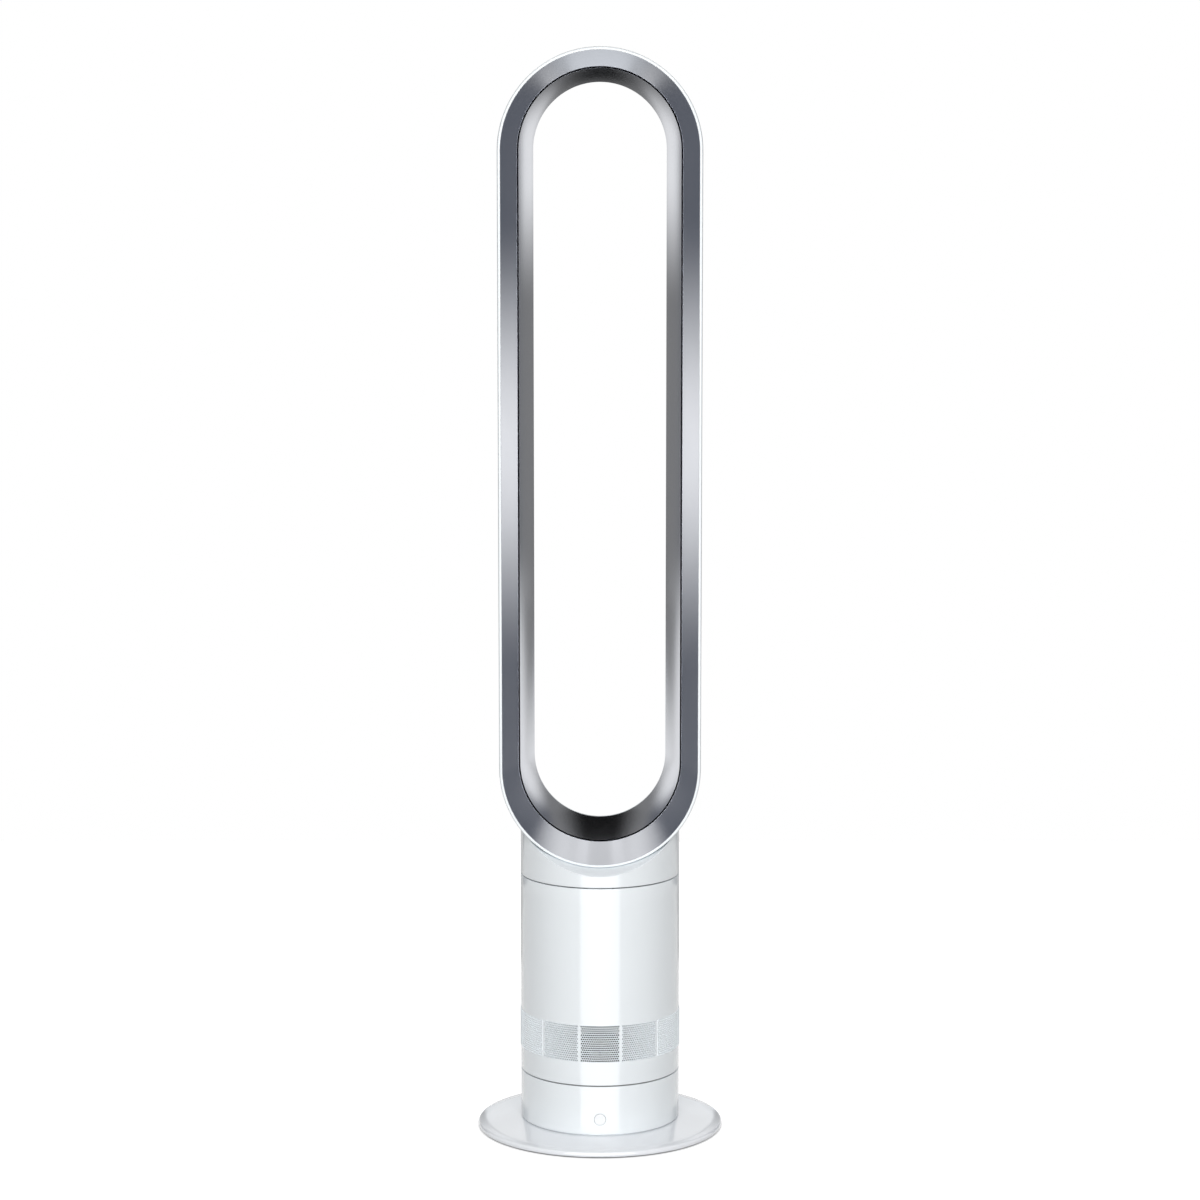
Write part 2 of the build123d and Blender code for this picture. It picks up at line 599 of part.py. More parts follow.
def neck_collar():
    """Short collar whose top is a saddle that the loop sits in."""
    wall = 2.4
    outside = rod(BODY_RADIUS, NECK_LOW, LOOP_LOW) - saddle(LOOP_RADIUS + PART_GAP)
    inside = rod(BODY_RADIUS - wall, NECK_LOW - 1, LOOP_LOW) - saddle(LOOP_RADIUS + PART_GAP + wall)
    collar = outside - inside
    collar = chamfer(collar.edges().group_by(Axis.Z)[0].sort_by(SortBy.RADIUS)[-1], 0.4)
    hook = tube(BODY_RADIUS - wall + 0.5, 69.0, 247.6, 250.0) & Pos(70, 0, 248) * Box(20, 20, 20)
    collar += around(3, hook, 30)
    collar -= rod(PORT_RADIUS, NECK_LOW, LOOP_LOW, 0, PORT_Y)
    return collar - [rod(1.5, NECK_LOW, LOOP_LOW, x, y) for x, y in NECK_SCREWS]


def neck_duct():
    """Duct in the neck, from the body's round outlet to the loop's air port."""
    def hollow(radius_low, radius_high, low, high):
        circle_low = Pos(0, 0, low) * Circle(radius_low)
        circle_high = Pos(0, PORT_Y, high) * Circle(radius_high)
        return loft([circle_low, circle_high])

    top = saddle_height(LOOP_RADIUS, PORT_RADIUS) + 1.5
    low, middle = 245.6, 252.6
    outer, inner = PORT_RADIUS - 0.2, PORT_RADIUS - 2.0
    outside = hollow(52.0, outer, low, middle) + rod(outer, middle, top, 0, PORT_Y)
    inside = hollow(46.0, inner, low, middle) + rod(inner, middle, top, 0, PORT_Y)
    return tube(52.0, 46.0, NECK_LOW + 0.2, low) + (outside - inside)


def neck_screws():
    """Screws up through the saddle into bosses in the loop."""
    under = saddle_height(LOOP_RADIUS + 2.5, NECK_SCREWS[1][0])
    return group(screw(x, y, under + 9.0, under - 3.2, 1.3, up=False) for x, y in NECK_SCREWS)


# ---- loop ----
def nose(radius_r, radius_y, forwards):
    """Half ellipse round the loop's rear, in the (r, y) plane."""
    middle = ((LOOP_RADIUS + THROAT_RADIUS) / 2, LOOP_THROAT_Y)
    start, size = (0, 180) if forwards else (180, -180)
    return EllipticalCenterArc(middle, radius_r, radius_y, start, arc_size=size)


def loop_outer_shell():
    """White outer wall: slim rolled front rim, flat side and rounded rear nose."""
    rim_inner = 89.4
    edge = 1.4
    wall = 2.0
    half = (LOOP_RADIUS - THROAT_RADIUS) / 2
    depth = LOOP_REAR - LOOP_THROAT_Y
    inner_radius = LOOP_RADIUS - wall
    section = make_face([
        Line((rim_inner, LOOP_FRONT), (LOOP_RADIUS - edge, LOOP_FRONT)),
        EllipticalCenterArc((LOOP_RADIUS - edge, LOOP_FRONT + 6), edge, 6.0, 270, arc_size=90),
        Line((LOOP_RADIUS, LOOP_FRONT + 6), (LOOP_RADIUS, LOOP_THROAT_Y)),
        nose(half, depth, True),
        Line((THROAT_RADIUS, LOOP_THROAT_Y), (THROAT_RADIUS + wall, LOOP_THROAT_Y)),
        nose(half - wall, depth - wall, False),
        Line((inner_radius, LOOP_THROAT_Y), (inner_radius, LOOP_FRONT + wall)),
        Line((inner_radius, LOOP_FRONT + wall), (rim_inner, LOOP_FRONT + wall)),
        Line((rim_inner, LOOP_FRONT + wall), (rim_inner, LOOP_FRONT)),
    ])
    shell = loop_solid(section) - rod(PORT_RADIUS, 240, 300, 0, PORT_Y)
    shell += [rod(3.6, 255.0, 273.0, x, y) & saddle(LOOP_RADIUS - 0.5) for x, y in NECK_SCREWS]
    return shell - [rod(1.35, 240.0, 272.0, x, y) for x, y in NECK_SCREWS]


def loop_front_trim():
    """Silver flare from the slot out to the rim, with the slot's outer duct wall behind it."""
    outer = 89.3
    return loop_solid(make_face([
        ThreePointArc((outer, LOOP_FRONT + 0.1), (81.1, -24.6), (SLOT_OUTER, SLOT_Y)),
        Line((SLOT_OUTER, SLOT_Y), (SLOT_OUTER, 4.0)),
        Line((SLOT_OUTER, 4.0), (SLOT_OUTER + 1.6, 4.0)),
        Line((SLOT_OUTER + 1.6, 4.0), (SLOT_OUTER + 1.6, SLOT_Y)),
        ThreePointArc((SLOT_OUTER + 1.6, SLOT_Y), (82.6, -23.8), (87.8, -38.8)),
        Line((87.8, -38.8), (90.9, -38.8)),
        Line((90.9, -38.8), (90.9, -40.9)),
        Line((90.9, -40.9), (outer, -40.9)),
        Line((outer, -40.9), (outer, LOOP_FRONT + 0.1)),
    ]))


def loop_inner_band():
    """Silver band from the throat forward to the slot's lip, with slot spacers and a rear tongue."""
    under_shell = THROAT_RADIUS + 2.1
    band = loop_solid(make_face([
        ThreePointArc((SLOT_INNER - 1.0, SLOT_Y), (66.4, 19.0), (THROAT_RADIUS, LOOP_THROAT_Y - 0.1)),
        Line((THROAT_RADIUS, LOOP_THROAT_Y - 0.1), (under_shell, LOOP_THROAT_Y - 0.1)),
        Line((under_shell, LOOP_THROAT_Y - 0.1), (under_shell + 0.3, 47.5)),
        Line((under_shell + 0.3, 47.5), (under_shell + 1.6, 47.5)),
        Line((under_shell + 1.6, 47.5), (under_shell + 1.6, 38.0)),
        ThreePointArc((under_shell + 1.6, 38.0), (68.4, 19.6), (SLOT_INNER, 0.0)),
        Line((SLOT_INNER, 0.0), (SLOT_INNER, SLOT_Y)),
        Line((SLOT_INNER, SLOT_Y), (SLOT_INNER - 1.0, SLOT_Y)),
    ]))
    gap = SLOT_OUTER - SLOT_INNER
    spacer = Pos(SLOT_INNER + gap / 2 - 0.1, 1.0, 0) * Box(gap, 3.0, 1.4)
    pitch = (LOOP_HIGH - LOOP_LOW) / 6
    for k in range(7):
        right = Pos(0, 0, LOOP_LOW + pitch * k) * spacer
        band += [right, mirror(right, about=Plane.YZ)]
    for angle in (45, 90, 135):
        band += [Pos(0, 0, LOOP_HIGH) * Rot(0, -angle, 0) * spacer]
        band += [Pos(0, 0, LOOP_LOW) * Rot(0, angle, 0) * spacer]
    return band


def rim_seal():
    """Soft bead behind the flare's flange, inside the outer shell."""
    return loop_solid(Pos(90.0, -37.9, 0) * Rectangle(1.6, 1.8))


def dock_magnets():
    """Two small magnets under the top of the loop that hold a remote control."""
    top = HEIGHT - 2.15
    return group([rod(4.0, top - 2.0, top, 0, y) for y in (6.0, 30.0)])


NODES = (
    base_plate, foot_pads, base_screws, lower_casing, glide_ring, hub_post, hub_retainer, hub_screws,
    osc_motor, osc_motor_screws, main_board, board_parts, board_screws, board_lead, cable_gland,
    front_board, led_display, power_button, switch_plunger, drive_pinion, pinion_shaft,
    turntable_gear, gear_screws, turntable, body_screws, body_shell, inlet_grille, intake_foam,
    motor_deck, isolators, inlet_seal, impeller_shroud, motor_bucket, bucket_screws, motor_stator,
    stator_coils, motor_bearings, motor_cover, motor_lead, impeller, motor_shaft, rotor_magnet,
    impeller_nut, outlet_duct, top_ring, top_screws, duct_seal, neck_collar, neck_duct, neck_screws,
    loop_outer_shell, loop_front_trim, loop_inner_band, rim_seal, dock_magnets,
)

os.makedirs("parts", exist_ok=True)
for make in NODES:
    export_step(make(), "parts/" + make.__name__ + ".step")
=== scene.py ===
import json
from math import pi, radians

import bmesh
import bpy
import numpy as np
from bpy.props import FloatProperty, FloatVectorProperty, IntProperty, PointerProperty
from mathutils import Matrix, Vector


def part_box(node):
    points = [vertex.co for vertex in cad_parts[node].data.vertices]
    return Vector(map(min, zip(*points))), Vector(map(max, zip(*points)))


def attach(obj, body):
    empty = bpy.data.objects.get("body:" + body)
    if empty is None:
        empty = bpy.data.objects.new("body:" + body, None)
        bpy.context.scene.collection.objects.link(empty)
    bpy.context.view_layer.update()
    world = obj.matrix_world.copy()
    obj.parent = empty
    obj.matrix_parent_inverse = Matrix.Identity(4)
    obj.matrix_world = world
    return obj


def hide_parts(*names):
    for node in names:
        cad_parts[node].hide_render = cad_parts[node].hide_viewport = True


# Surfaces, finishes and stage of a bladeless tower fan. Metres, +Z up, front towards -Y.

bl_info = {
    "name": "Bladeless tower fan",
    "version": (1, 0, 0),
    "blender": (4, 5, 0),
    "location": "View3D > Sidebar > Fan",
    "description": "Builds the visible surfaces, finishes and stage of a bladeless tower fan",
    "category": "Add Mesh",
}

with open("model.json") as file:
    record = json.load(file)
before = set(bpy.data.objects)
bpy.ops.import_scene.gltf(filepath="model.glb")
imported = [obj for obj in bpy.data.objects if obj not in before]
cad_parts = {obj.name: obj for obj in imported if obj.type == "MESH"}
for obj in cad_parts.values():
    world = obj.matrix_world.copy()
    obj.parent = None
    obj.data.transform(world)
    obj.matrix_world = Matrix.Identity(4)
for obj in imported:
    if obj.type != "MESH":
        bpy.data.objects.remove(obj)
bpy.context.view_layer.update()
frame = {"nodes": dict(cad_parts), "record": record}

MM = 0.001
PANELS = 12


def corner(node, high, axis):
    """One coordinate of a node's box."""
    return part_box(node)[1 if high else 0][axis]


# ---- sizes and colours that a user would change ----

def size(name, description, default):
    """Length in metres."""
    return FloatProperty(name=name, description=description, default=default, subtype="DISTANCE",
                         unit="LENGTH", precision=4)


def colour(name, description, default):
    """Linear colour."""
    return FloatVectorProperty(name=name, description=description, default=default, size=3,
                               subtype="COLOR", min=0.0, max=1.0)


def strength(name, description, default, unit="NONE"):
    """Light level or power."""
    return FloatProperty(name=name, description=description, default=default, min=0.0, unit=unit)


class LoopSizes(bpy.types.PropertyGroup):
    """Sizes of the hollow stadium loop, its flare and its inner band."""
    radius: size("Outer radius", "Outside of the loop from its spine", corner("loop_outer_shell", True, 0))
    front: size("Front", "Front face of the rim", corner("loop_outer_shell", False, 1))
    rear: size("Rear", "Rearmost point of the nose", corner("loop_outer_shell", True, 1))
    top: size("Top", "Highest point", corner("loop_outer_shell", True, 2))
    bottom: size("Bottom", "Lowest point of the loop", corner("loop_outer_shell", False, 2))
    rim_inner: size("Rim inner radius", "Where the white rim meets the flare", 90.2 * MM)
    throat: size("Throat radius", "Narrowest half width of the opening", 61.7 * MM)
    throat_y: size("Throat depth", "Where the band ends and the nose begins", 44.4 * MM)
    slot_y: size("Slot depth", "Mouth of the air slot", -5.4 * MM)
    slot_inner: size("Slot inner radius", "Slot's wall on the band", 74.2 * MM)
    slot_outer: size("Slot outer radius", "Slot's wall on the flare", 75.2 * MM)
    wall: size("Wall", "Thickness of the loop's walls", 2.0 * MM)


class BodySizes(bpy.types.PropertyGroup):
    """Sizes of the round body, the neck and the lower casing."""
    radius: size("Radius", "Outside of casing, body and neck", corner("body_shell", True, 0))
    wall: size("Wall", "Thickness of the round walls", 2.2 * MM)
    edge: size("Edge", "Rounding at the seams", 0.45 * MM)
    grille_low: size("Grille low", "Lower edge of the inlet fields", 79.5 * MM)
    grille_high: size("Grille high", "Upper edge of the inlet fields", 114.0 * MM)
    strip: size("Strip", "Solid strip between two fields", 2.2 * MM)
    field_proud: size("Field height", "How far the fields stand out", 0.5 * MM)
    field_thickness: size("Field thickness", "Depth of the drilled holes", 2.0 * MM)
    hole: size("Hole", "Diameter of the inlet holes", 1.8 * MM)
    rows: IntProperty(name="Rows", description="Rows of holes in a field", default=17, min=2, max=40)
    holes: IntProperty(name="Holes", description="Holes in the longer rows", default=19, min=2, max=40)
    button_radius: size("Button radius", "Outside of the power button", 5.33 * MM)
    button_z: size("Button height", "Middle of the power button", 25.0 * MM)
    button_gap: size("Button gap", "Gap round the power button", 0.25 * MM)
    gland_z: size("Gland height", "Middle of the cable gland", 20.0 * MM)


class Finishes(bpy.types.PropertyGroup):
    """Colours of the finishes."""
    white: colour("White plastic", "Moulded gloss plastic of the body and loop", (0.80, 0.838, 0.862))
    silver: colour("Silver", "Metallic finish of the flare and band", (0.76, 0.775, 0.82))
    plate: colour("Base plate", "Gloss plastic of the base plate", (0.815, 0.838, 0.872))
    grey: colour("Grey plastic", "Ducts and fan housing", (0.30, 0.31, 0.32))
    dark: colour("Dark plastic", "Hidden mouldings", (0.045, 0.047, 0.05))
    gear: colour("Gear plastic", "Gears and glide ring", (0.62, 0.60, 0.55))
    rubber: colour("Rubber", "Feet, seals and bushes", (0.022, 0.022, 0.024))
    foam: colour("Foam", "Sound-soaking foam", (0.055, 0.055, 0.06))
    steel: colour("Steel", "Screws, shafts and bearings", (0.58, 0.575, 0.56))
    copper: colour("Winding", "Enamelled copper", (0.55, 0.21, 0.08))
    board: colour("Circuit board", "Solder resist", (0.018, 0.115, 0.05))


class StageLevels(bpy.types.PropertyGroup):
    """Light levels of the stage."""
    ambient: strength("Ambient", "World light on matt surfaces", 0.20)
    surround: strength("Surround", "World as gloss reflects it", 1.0)
    window: strength("Window", "Brightest cards behind the loop", 0.95)
    shade: strength("Shade", "Dark cards behind the loop", 0.122)
    key: strength("Key lamp", "Power of the front lamp in watts", 132.0, "POWER")
    top: strength("Top lamp", "Power of the lamp above and behind in watts", 14.0, "POWER")
    rear: strength("Rear lamps", "Power of each lamp behind at a side in watts", 27.0, "POWER")
    strip: strength("Strip card", "Level of the card that the body reflects", 3.2)


# ---- surfaces ----

def round_edge(middle, size_r, size_t, start, turn, steps):
    """Points on an elliptic arc: the middle plus size times (cosine, sine), for angles in degrees."""
    angle = np.radians(np.linspace(start, start + turn, steps + 1))
    return np.stack([middle[0] + size_r * np.cos(angle), middle[1] + size_t * np.sin(angle)], axis=1)


def bow(start, end, bulge, steps):
    """Points from start to end, pushed sideways by bulge times 4 u (1 - u), u running from 0 to 1."""
    u = np.linspace(0.0, 1.0, steps + 1)[:, None]
    start, end = np.array(start), np.array(end)
    along = (end - start) / np.linalg.norm(end - start)
    side = np.array([along[1], -along[0]])
    return start + (end - start) * u + side * bulge * 4 * u * (1 - u)


def points_of(x, y, z):
    """Points from three arrays, spread over their common shape."""
    return np.stack(np.broadcast_arrays(x, y, z), axis=-1)


def around(r, a, z):
    """Points (r cos a, r sin a, z) from three arrays: radius, angle and height."""
    return points_of(r * np.cos(a), r * np.sin(a), z)


def outline(*parts):
    """Joined rows of (radius, depth) points."""
    return np.concatenate([np.atleast_2d(np.array(part, float)) for part in parts])


def round_stadium(profile, low, high, arc_steps=72, side_steps=30):
    """Grid of (r cos a, y, base + r sin a) for each profile point (r, y), carried once round a
    stadium: a is 0 or 180 degrees on the sides while base climbs or falls between low and high,
    and a turns by 180 degrees round each end."""
    turn = np.linspace(0.0, pi, arc_steps + 1)[:-1]
    climb = np.linspace(0.0, 1.0, side_steps + 1)[:-1]
    a = np.concatenate([0 * climb, turn, 0 * climb + pi, turn + pi])[:, None]
    base = np.concatenate([low + (high - low) * climb, 0 * turn + high,
                           high + (low - high) * climb, 0 * turn + low])[:, None]
    r, y = profile[:, 0], profile[:, 1]
    return points_of(r * np.cos(a), y, base + r * np.sin(a))


def grid_faces(rows, columns, wrap_rows=False, wrap_columns=False):
    """Corner numbers of the quads of a grid, with the last row or column joined to the first."""
    i, j = np.meshgrid(np.arange(rows - (not wrap_rows)), np.arange(columns - (not wrap_columns)),
                       indexing="ij")
    i, j = i.ravel(), j.ravel()
    i2, j2 = (i + 1) % rows, (j + 1) % columns
    return np.stack([i * columns + j, i2 * columns + j, i2 * columns + j2, i * columns + j2], axis=1)


def closed(grid):
    """Points and faces of a grid whose last row and last column join the first ones."""
    return grid.reshape(-1, 3), grid_faces(*grid.shape[:2], wrap_rows=True, wrap_columns=True)


def merge_doubles(mesh, outwards=False):
    """Joins points that lie together, so poles and seams close, and then turns the normals
    outwards if that is asked for."""
    work = bmesh.new()
    work.from_mesh(mesh)
    bmesh.ops.remove_doubles(work, verts=work.verts, dist=1e-6)
    if outwards:
        bmesh.ops.recalc_face_normals(work, faces=work.faces)
    work.to_mesh(mesh)
    work.free()


def dress(name, mesh, material, body, replaced, sharp=30.0):
    """Object of a finished mesh, which rides on a body and stands for a CAD node."""
    mesh.shade_smooth()
    mesh.set_sharp_from_angle(angle=radians(sharp))
    mesh.materials.clear()
    mesh.materials.append(material)
    piece = bpy.data.objects.new(name, mesh)
    bpy.context.scene.collection.objects.link(piece)
    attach(piece, body)
    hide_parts(replaced)


def add_piece(name, patches, material, body, replaced):
    """Piece from patches, each a grid of points or a pair of points and faces."""
    points, faces, count = [], [], 0
    for patch in patches:
        if isinstance(patch, tuple):
            grid, corners = patch
        else:
            grid, corners = patch.reshape(-1, 3), grid_faces(*patch.shape[:2])
        points.append(grid)
        faces.extend((np.asarray(corners) + count).tolist())
        count += len(grid)
    mesh = bpy.data.meshes.new(name)
    mesh.from_pydata(np.concatenate(points).tolist(), [], faces)
    merge_doubles(mesh, outwards=True)
    dress(name, mesh, material, body, replaced)


# ---- finishes ----

def add_node(tree, kind, values=(), links=(), **settings):
    """Node with its settings, its input values and its links, by socket name or number."""
    item = tree.nodes.new(kind)
    for key, value in settings.items():
        setattr(item, key, value)
    for key, value in dict(values).items():
        item.inputs[key].default_value = value
    for key, source in dict(links).items():
        tree.links.new(source, item.inputs[key])
    return item


def map_range(tree, source, low, high, to_low, to_high):
    """Value moved smoothly from one range to another, and kept inside it."""
    return add_node(tree, "ShaderNodeMapRange", {1: low, 2: high, 3: to_low, 4: to_high}, {0: source},
                    interpolation_type="SMOOTHSTEP").outputs[0]


def maths(tree, operation, *terms):
    """Result of a maths node, whose terms are numbers or outputs of other nodes."""
    item = add_node(tree, "ShaderNodeMath", operation=operation)
    for socket, term in zip(item.inputs, terms):
        if isinstance(term, float):
            socket.default_value = term
        else:
            tree.links.new(term, socket)
    return item.outputs[0]


def start_group(name, **inputs):
    """Shader node group with a point, the named values and three results, and its inputs."""
    tree = bpy.data.node_groups.new(name, "ShaderNodeTree")
    tree.interface.new_socket("Vector", in_out="INPUT", socket_type="NodeSocketVector")
    for label, value in inputs.items():
        socket = tree.interface.new_socket(label, in_out="INPUT", socket_type="NodeSocketFloat")
        socket.default_value = value
    for label in ("Height", "Shade", "Roughness"):
        tree.interface.new_socket(label, in_out="OUTPUT", socket_type="NodeSocketFloat")
    return tree, tree.nodes.new("NodeGroupInput")


def end_group(tree, given, height, light, blur):
    """Results: the height, 1 plus Tone times (light less 0.5), Gloss plus Spread times (blur less 0.5)."""
    shade = maths(tree, "MULTIPLY_ADD", maths(tree, "SUBTRACT", light, 0.5), given.outputs["Tone"], 1.0)
    rough = maths(tree, "MULTIPLY_ADD", maths(tree, "SUBTRACT", blur, 0.5), given.outputs["Spread"],
                  given.outputs["Gloss"])
    result = tree.nodes.new("NodeGroupOutput")
    for label, source in (("Height", height), ("Shade", shade), ("Roughness", rough)):
        tree.links.new(source, result.inputs[label])
    return tree


def moulded_grain():
    """Fine spark-eroded grain of moulded plastic, with slow flow marks and faint handling marks."""
    tree, given = start_group("moulded_grain", Grain=2600.0, Tone=0.02, Gloss=0.3, Spread=0.05)
    point = given.outputs["Vector"]
    fine = add_node(tree, "ShaderNodeTexNoise", {"Detail": 2.0, "Roughness": 0.6},
                    {"Vector": point, "Scale": given.outputs["Grain"]})
    flow = add_node(tree, "ShaderNodeTexNoise", {"Scale": 9.0, "Detail": 3.0, "Distortion": 0.6},
                    {"Vector": point})
    touch = add_node(tree, "ShaderNodeTexNoise", {"Scale": 38.0, "Detail": 5.0, "Roughness": 0.65},
                     {"Vector": point})
    return end_group(tree, given, *(noise.outputs["Fac"] for noise in (fine, flow, touch)))


def paint_flake():
    """Tiny metallic flakes lying at slightly different angles under a smooth skin."""
    tree, given = start_group("paint_flake", Size=4200.0, Tone=0.06, Gloss=0.2, Spread=0.06)
    point = given.outputs["Vector"]
    flake = add_node(tree, "ShaderNodeTexVoronoi", {"Randomness": 1.0},
                     {"Vector": point, "Scale": given.outputs["Size"]})
    spark = add_node(tree, "ShaderNodeSeparateColor", {}, {0: flake.outputs["Color"]})
    cloud = add_node(tree, "ShaderNodeTexNoise", {"Scale": 22.0, "Detail": 4.0}, {"Vector": point})
    return end_group(tree, given, spark.outputs[1], spark.outputs[0], cloud.outputs["Fac"])


def fetch_group(make):
    """The effect group that a function makes, made at its first use."""
    return bpy.data.node_groups.get(make.__name__) or make()


def new_material(name):
    """Material with nodes, and its tree."""
    material = bpy.data.materials.new(name)
    material.use_nodes = True
    return material, material.node_tree


def finish(name, tint, effect=moulded_grain, values=(), bump=0.05, distance=0.00002, extra=None,
           **sockets):
    """Material in one of the named colours, whose tone, roughness and fine height come from an
    effect group. An extra function changes it further, at its first use alone."""
    found = bpy.data.materials.get(name)
    if found:
        return found
    material, tree = new_material(name)
    shader = tree.nodes["Principled BSDF"]
    place = add_node(tree, "ShaderNodeTexCoord")
    group = add_node(tree, "ShaderNodeGroup", node_tree=fetch_group(effect))
    for key, value in dict(values).items():
        group.inputs[key].default_value = value
    tree.links.new(place.outputs["Object"], group.inputs["Vector"])
    shade = add_node(tree, "ShaderNodeVectorMath", {0: getattr(bpy.context.scene.fan_finishes, tint)},
                     {1: group.outputs["Shade"]}, operation="MULTIPLY")
    tree.links.new(shade.outputs[0], shader.inputs["Base Color"])
    tree.links.new(group.outputs["Roughness"], shader.inputs["Roughness"])
    dent = add_node(tree, "ShaderNodeBump", {"Strength": bump, "Distance": distance},
                    {"Height": group.outputs["Height"]})
    tree.links.new(dent.outputs["Normal"], shader.inputs["Normal"])
    for key, value in sockets.items():
        shader.inputs[key.replace("_", " ")].default_value = value
    if extra:
        extra(tree, shader)
    return material


def lighten(tree, shader, scale):
    """Paints light: multiplies the colour by a value that varies over the surface."""
    plain = shader.inputs["Base Color"].links[0].from_socket
    lighter = add_node(tree, "ShaderNodeVectorMath", {}, {0: plain, "Scale": scale}, operation="SCALE")
    tree.links.new(lighter.outputs[0], shader.inputs["Base Color"])


def light_hole_walls(tree, shader):
    """Paints light on the walls of the holes: their colour is lifted where the normal lies across the
    radius, standing in for light that does not reach into the holes.
    """
    painted_light_lift, across, along = 1.16, 0.2, 0.7
    place = add_node(tree, "ShaderNodeTexCoord")
    flat = add_node(tree, "ShaderNodeVectorMath", {1: (1.0, 1.0, 0.0)}, {0: place.outputs["Object"]},
                    operation="MULTIPLY")
    outwards = add_node(tree, "ShaderNodeVectorMath", {}, {0: flat.outputs[0]}, operation="NORMALIZE")
    facing = add_node(tree, "ShaderNodeVectorMath", {},
                      {0: outwards.outputs[0], 1: place.outputs["Normal"]}, operation="DOT_PRODUCT")
    lighten(tree, shader, map_range(tree, facing.outputs["Value"], across, along, painted_light_lift, 1.0))


def matt_level_faces(tree, shader):
    """Makes level faces, such as the seat of the loop, matt, and paints light on them: their colour is
    lifted where the normal points up.
    """
    painted_light_lift, matt, coat, steep, level = 1.15, 0.35, 0.6, 0.80, 0.95
    place = add_node(tree, "ShaderNodeTexCoord")
    up = add_node(tree, "ShaderNodeSeparateXYZ", {}, {0: place.outputs["Normal"]}).outputs[2]
    lighten(tree, shader, map_range(tree, up, steep, level, 1.0, painted_light_lift))
    rough = maths(tree, "ADD", shader.inputs["Roughness"].links[0].from_socket,
                  map_range(tree, up, steep, level, 0.0, matt))
    tree.links.new(rough, shader.inputs["Roughness"])
    tree.links.new(map_range(tree, up, steep, level, coat, 0.0), shader.inputs["Coat Weight"])


def white_plastic():
    """Clear-coated white moulding of the loop, the body and the casing."""
    return finish("gloss_white_plastic", "white", values={"Gloss": 0.2, "Spread": 0.08, "Tone": 0.015},
                  Specular_IOR_Level=0.5, Coat_Weight=0.6, Coat_Roughness=0.04)


def neck_plastic():
    """The white moulding, with the matt seat of the loop and painted light on its level faces."""
    return finish("neck_white_plastic", "white", values={"Gloss": 0.2, "Spread": 0.08, "Tone": 0.015},
                  extra=matt_level_faces, Specular_IOR_Level=0.5, Coat_Roughness=0.04)


def grille_plastic():
    """Matt white plastic of the inlet fields, with painted light on the walls of the holes."""
    return finish("grille_white_plastic", "white", values={"Gloss": 0.42, "Spread": 0.08, "Tone": 0.015},
                  extra=light_hole_walls, Specular_IOR_Level=0.12)


def plate_plastic():
    """Clear-coated white plastic of the base plate."""
    return finish("plate_white_plastic", "plate", values={"Gloss": 0.16, "Spread": 0.06, "Tone": 0.015},
                  Specular_IOR_Level=0.5, Coat_Weight=1.0, Coat_Roughness=0.04)


def silver_paint():
    """Satin silver of the flare and the band."""
    return finish("satin_silver", "silver", effect=paint_flake, values={"Gloss": 0.15, "Spread": 0.03},
                  bump=0.12, distance=0.00001, Metallic=1.0)


# ---- the loop ----

def loop_levels(sizes):
    """Heights of the two arc centres."""
    return sizes.bottom + sizes.radius, sizes.top - sizes.radius


def add_loop_piece(name, profile, sizes, material, node):
    """Piece whose closed profile is carried once round the loop."""
    add_piece(name, [closed(round_stadium(profile, *loop_levels(sizes)))], material, "head", node)


class FAN_OT_loop_shell(bpy.types.Operator):
    """White outer wall of the loop, from the slim front rim round the rear nose to the throat"""
    bl_idname = "fan.loop_shell"
    bl_label = "Loop shell"

    def execute(self, context):
        s = context.scene.fan_loop
        edge, run, lip = 1.2 * MM, 3.6 * MM, 0.2 * MM
        middle = ((s.radius + s.throat) / 2, s.throat_y)
        half, depth = (s.radius - s.throat) / 2, s.rear - s.throat_y
        profile = outline(
            round_edge((s.rim_inner + lip, s.front + lip), lip, lip, 180, 90, 4),
            round_edge((s.radius - edge, s.front + run), edge, run, 270, 90, 14),
            round_edge(middle, half, depth, 0, 180, 56),
            (s.throat + s.wall, s.throat_y),
            round_edge(middle, half - s.wall, depth - s.wall, 180, -180, 24),
            (s.radius - s.wall, s.front + s.wall), (s.rim_inner, s.front + s.wall))
        add_loop_piece("loop_shell_skin", profile, s, white_plastic(), "loop_outer_shell")
        return {"FINISHED"}


class FAN_OT_front_flare(bpy.types.Operator):
    """Silver flare that falls from the rim to the air slot, with the slot's outer wall behind it"""
    bl_idname = "fan.front_flare"
    bl_label = "Front flare"

    def execute(self, context):
        s = context.scene.fan_loop
        lip, thick, clear, bulge, step = 0.14 * MM, 1.5 * MM, 0.1 * MM, 0.12 * MM, 0.2 * MM
        outer, front, mouth = s.rim_inner - clear, s.front + clear, s.slot_y + 9.4 * MM
        wall, side, back = s.slot_outer + thick, front + 2 * MM, front + 4 * MM
        profile = outline(
            (outer, side),
            round_edge((outer - lip / 2, front + lip / 2), lip / 2, lip / 2, 0, -90, 3),
            bow((outer - lip, front + lip / 3), (s.slot_outer + lip / 3, s.slot_y - lip), bulge, 26),
            round_edge((s.slot_outer + lip, s.slot_y), lip, lip, 200, -20, 3),
            (s.slot_outer, mouth), (wall, mouth), (wall, s.slot_y),
            bow((wall, s.slot_y), (outer - thick, back), 0.0, 8)[1:], (outer - step, back))
        add_loop_piece("flare_skin", profile, s, silver_paint(), "loop_front_trim")
        return {"FINISHED"}


